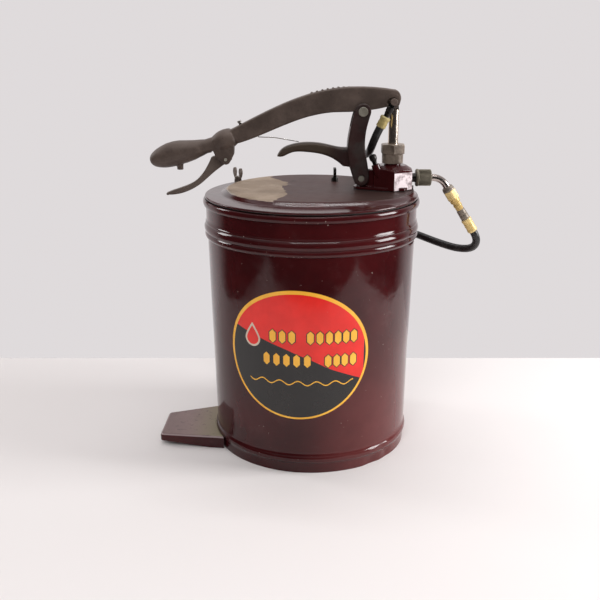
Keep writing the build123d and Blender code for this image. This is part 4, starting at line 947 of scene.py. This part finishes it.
def lever_ribs(place, normal):
    """Low cross ribs along the lever's back, where the casting is marked."""
    on_back = normal.z >= 0.75 and abs(place.y) <= RIB_HALF_LENGTH
    if not on_back or not RIBS_FROM < place.x < RIBS_TO:
        return 0.0
    rib = RIB_HEIGHT * smoothstep(sin((place.x - RIBS_FROM) * 2 * pi / RIB_PITCH), 0.0, 0.8)
    return max(min(rib, LEVER_TOP - place.z), 0.0)


def add_castings():
    for name, nodes, body, material, slot, voxel, smooth in (
        ("lever_casting", ("lever", "grip"), "lever", lever_iron, "worn_iron", 0.9, 9),
        ("trigger_casting", ("trigger",), "trigger", grip_iron, "worn_iron", 0.7, 5),
        ("link_casting", ("link",), "link", link_iron, "link_iron", 0.8, 5),
        ("head_casting", ("pump_head",), "cover", head_paint, "maroon_paint", 0.6, 3),
        ("packing_nut_casting", ("packing_nut",), "cover", nut_metal, "bronze", 0.5, 4),
    ):
        extras = (grip_core(), lever_ribs) if "grip" in nodes else ()
        piece = casting(name, nodes, voxel, smooth, *extras)
        dress(piece, material)
        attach(piece, body)


add_castings()


# ---- outlet fittings ---------------------------------------------------------------
KNURL_FROM, KNURL_TO = 169.5, 188.5
KNURL_RIDGES, KNURL_DEPTH = 48, 0.45
HEX_END, HEX_FLAT, HEX_CORNER = 17.5, 9.1, 9.9
HOSE_END_BORE = 2.6


def turned(name, node, material, start, axis, rings, bore,
           segments=64, ripple=None, body="cover"):
    """A turned fitting in place of a CAD node: (distance, radius) pairs over a bore."""
    outline = [(rings[0][0], bore), *rings, (rings[-1][0], bore)]
    piece = lathe(name, outline, start, axis, segments, ripple=ripple)
    dress(piece, material)
    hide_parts(node)
    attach(piece, body)


def knurl(distance, angle):
    """Fine ridges on the outlet nut's sleeve."""
    if KNURL_FROM < distance < KNURL_TO:
        return KNURL_DEPTH * cos(KNURL_RIDGES * angle)
    return 0.0


def hexed(distance, angle):
    """Flats of the brass coupling, rounded at its corners."""
    if distance > HEX_END:
        return 0.0
    swing = (angle + pi / 6) % (pi / 3) - pi / 6
    return min(HEX_FLAT / cos(swing), HEX_CORNER) - HEX_CORNER


def add_fittings():
    outlet = at(0, 0, OUTLET_Z)
    along_x = Vector((1, 0, 0))
    turned(
        "outlet_nut_knurled", "outlet_nut", outlet_metal, outlet, along_x,
        [(164.7, 12.4), (165.2, 13.2), (166, 13.7), (168.4, 13.7), (169.1, 12.9), (169.6, 12.3),
         (170.2, 12.5), (187.8, 12.5), (188.6, 12.2), (189.1, 11.3)],
        5.7, 336, knurl)
    turned(
        "bleed_knob", "bleed_plug", black_steel,
        at(106, -16, 439.5), Vector((-0.342, 0, 0.94)),
        [(10, 3.5), (24, 3.6), (26, 4.2), (28, 5.3), (29.5, 5.8), (33.5, 5.8), (35, 5.2),
         (36, 3.6)],
        0.1)
    turned(
        "coupling_brass", "hose_coupling", brass, OUTLET_END, HOSE_DROP,
        [(2, 8.8), (2.8, 9.9), (16.8, 9.9), (17.4, 8.7), (18, 8.1), (23, 8.0), (24, 7.4),
         (25, 6.5), (27.5, 6.2), (28.5, 6.9), (31, 6.9), (32, 6.3), (37, 6.2), (38, 5.6)],
        HOSE_END_BORE, 72, hexed)
    turned(
        "sleeve_grey", "hose_sleeve", sleeve_metal, OUTLET_END, HOSE_DROP,
        [(38.0, 5.8), (39.0, 6.8), (46, 7.1), (47, 6.7), (48, 7.1), (55.0, 7.2), (56.0, 6.6)],
        HOSE_END_BORE)
    turned(
        "outlet_ferrule_brass", "outlet_ferrule", brass, OUTLET_END, HOSE_DROP,
        [(56.0, 7.2), (57.0, 8.3), (60.5, 8.4), (62.0, 7.7), (66, 7.8), (68, 8.3), (70, 7.8),
         (74, 7.8), (76, 8.3), (78.0, 8.2), (80.0, 7.2)],
        HOSE_END_BORE)
    turned(
        "nozzle_ferrule_brass", "nozzle_ferrule", pale_brass, NOZZLE_TOP, NOZZLE_AXIS,
        [(25.0, 6.4), (26.0, 7.9), (29.0, 8.1), (30.5, 7.2), (34, 7.2), (36, 7.8), (38, 7.3),
         (42.0, 7.8), (43.0, 6.8)],
        2.4, body="plunger")


add_fittings()
add_hose()


# ---- carried-over nodes ------------------------------------------------------------
def dress_nodes():
    looks = {
        pail_paint: ["can_bottom", "stud_bracket"],
        step_paint: ["footrest"],
        steel: ["footrest_rivets", "cover_stud", "stud_washer", "head_backing_plate",
                "head_screws", "pump_barrel", "foot_valve_ball", "foot_valve_pin", "strainer",
                "check_valve_ball", "check_valve_spring", "grip_screw", "piston_nut",
                "lever_wire"],
        rod_steel: ["plunger_rod"],
        pin_steel: ["link_pin", "fulcrum_pin", "fulcrum_clip", "trigger_pin"],
        lever_iron: ["rod_pin"],
        grip_iron: ["wing_nut"],
        sleeve_metal: ["elbow_collar"],
        seal: ["cover_gasket", "head_gasket", "packing_rings", "piston_cups"],
        black_steel: ["vent_screw", "vent_collar", "outlet_nipple", "nozzle_coupler",
                      "coupler_jaws"],
        nut_metal: ["foot_valve", "packing_gland", "piston", "piston_valve"],
        elbow_steel: ["outlet_elbow"],
    }
    for material, names in looks.items():
        for name in names:
            dress_node(name, material)


dress_nodes()


# ---- stage -------------------------------------------------------------------------
FLOOR = (0.80, 0.765, 0.755)
FLOOR_BACK = 0.339
BACKDROP = 0.74
DIM = 0.035


def plain(name, color):
    surface = Nodes(name)
    surface.color(color)
    surface.rough(0.9)
    return surface.material


def add_plane(name, low, high, color):
    (x0, y0), (x1, y1) = low, high
    sheet = build(name, [(x0, y0, 0), (x1, y0, 0), (x1, y1, 0), (x0, y1, 0)], [(0, 1, 2, 3)])
    sheet.data.materials.append(plain(name, color))
    return sheet


def add_world():
    """Pale where the camera looks. Reflections show a pale wall behind, a dim room in front
    and a soft ceiling."""
    world = bpy.data.worlds.new("studio")
    world.use_nodes = True
    tree = world.node_tree
    ground = tree.nodes["Background"]
    split = tree.nodes.new("ShaderNodeSeparateXYZ")
    way = tree.nodes.new("ShaderNodeTexCoord").outputs["Generated"]
    tree.links.new(way, split.inputs["Vector"])

    def ramp(source, low, high, start, end):
        node = tree.nodes.new("ShaderNodeMapRange")
        node.interpolation_type = "SMOOTHSTEP"
        limits = {"From Min": low, "From Max": high, "To Min": start, "To Max": end}
        for socket, value in limits.items():
            node.inputs[socket].default_value = value
        tree.links.new(source, node.inputs["Value"])
        return node.outputs["Result"]

    def join(operation, first, second):
        node = tree.nodes.new("ShaderNodeMath")
        node.operation = operation
        for socket, value in zip(node.inputs, (first, second)):
            if isinstance(value, float):
                socket.default_value = value
            else:
                tree.links.new(value, socket)
        return node.outputs["Value"]

    wall = ramp(split.outputs["Y"], 0.22, 0.62, 0.0, 0.85)
    ceiling = ramp(split.outputs["Z"], 0.35, 0.90, 0.0, 0.55)
    room = join("MAXIMUM", join("MAXIMUM", wall, ceiling), DIM)
    seen = tree.nodes.new("ShaderNodeLightPath").outputs["Is Camera Ray"]
    unseen = join("SUBTRACT", 1.0, seen)
    strength = join("ADD", join("MULTIPLY", seen, BACKDROP), join("MULTIPLY", unseen, room))
    ground.inputs["Color"].default_value = (1.0, 0.955, 0.965, 1)
    tree.links.new(strength, ground.inputs["Strength"])
    bpy.context.scene.world = world


def add_stage():
    add_plane("floor", (-5, -5), (5, FLOOR_BACK), FLOOR).visible_glossy = False
    table = add_plane("table", (-0.92, -0.88), (0.92, 0.45), FLOOR)
    table.visible_camera = False
    table.visible_diffuse = False
    table.visible_shadow = False
    table.location.z = 0.0002
    add_world()


def add_light(name, place, target, size, power):
    light = bpy.data.lights.new(name, "AREA")
    light.shape = "RECTANGLE"
    light.size, light.size_y = size
    light.energy = power
    lamp = bpy.data.objects.new(name, light)
    lamp.location = place
    lamp.rotation_euler = (Vector(target) - Vector(place)).to_track_quat("-Z", "Y").to_euler()
    bpy.context.scene.collection.objects.link(lamp)
    return lamp


bpy.context.scene.view_settings.view_transform = "Standard"
add_stage()
add_light("right window", (1.9, -0.25, 0.85), (0, 0, 0.25), (0.8, 0.9), 36)
add_light("left window", (-1.9, 0.7, 1.25), (0, 0, 0.35), (0.5, 0.7), 9)
add_light("front fill", (-0.4, -2.1, 1.5), (0, 0, 0.35), (1.4, 1.0), 17).visible_glossy = False
add_light("front tube", (0.1, -1.3, 2.5), (0, 0, 0.4), (1.7, 0.07), 8)
add_light("back tube", (0.1, 0.5, 2.5), (0, 0, 0.4), (1.7, 0.07), 8)
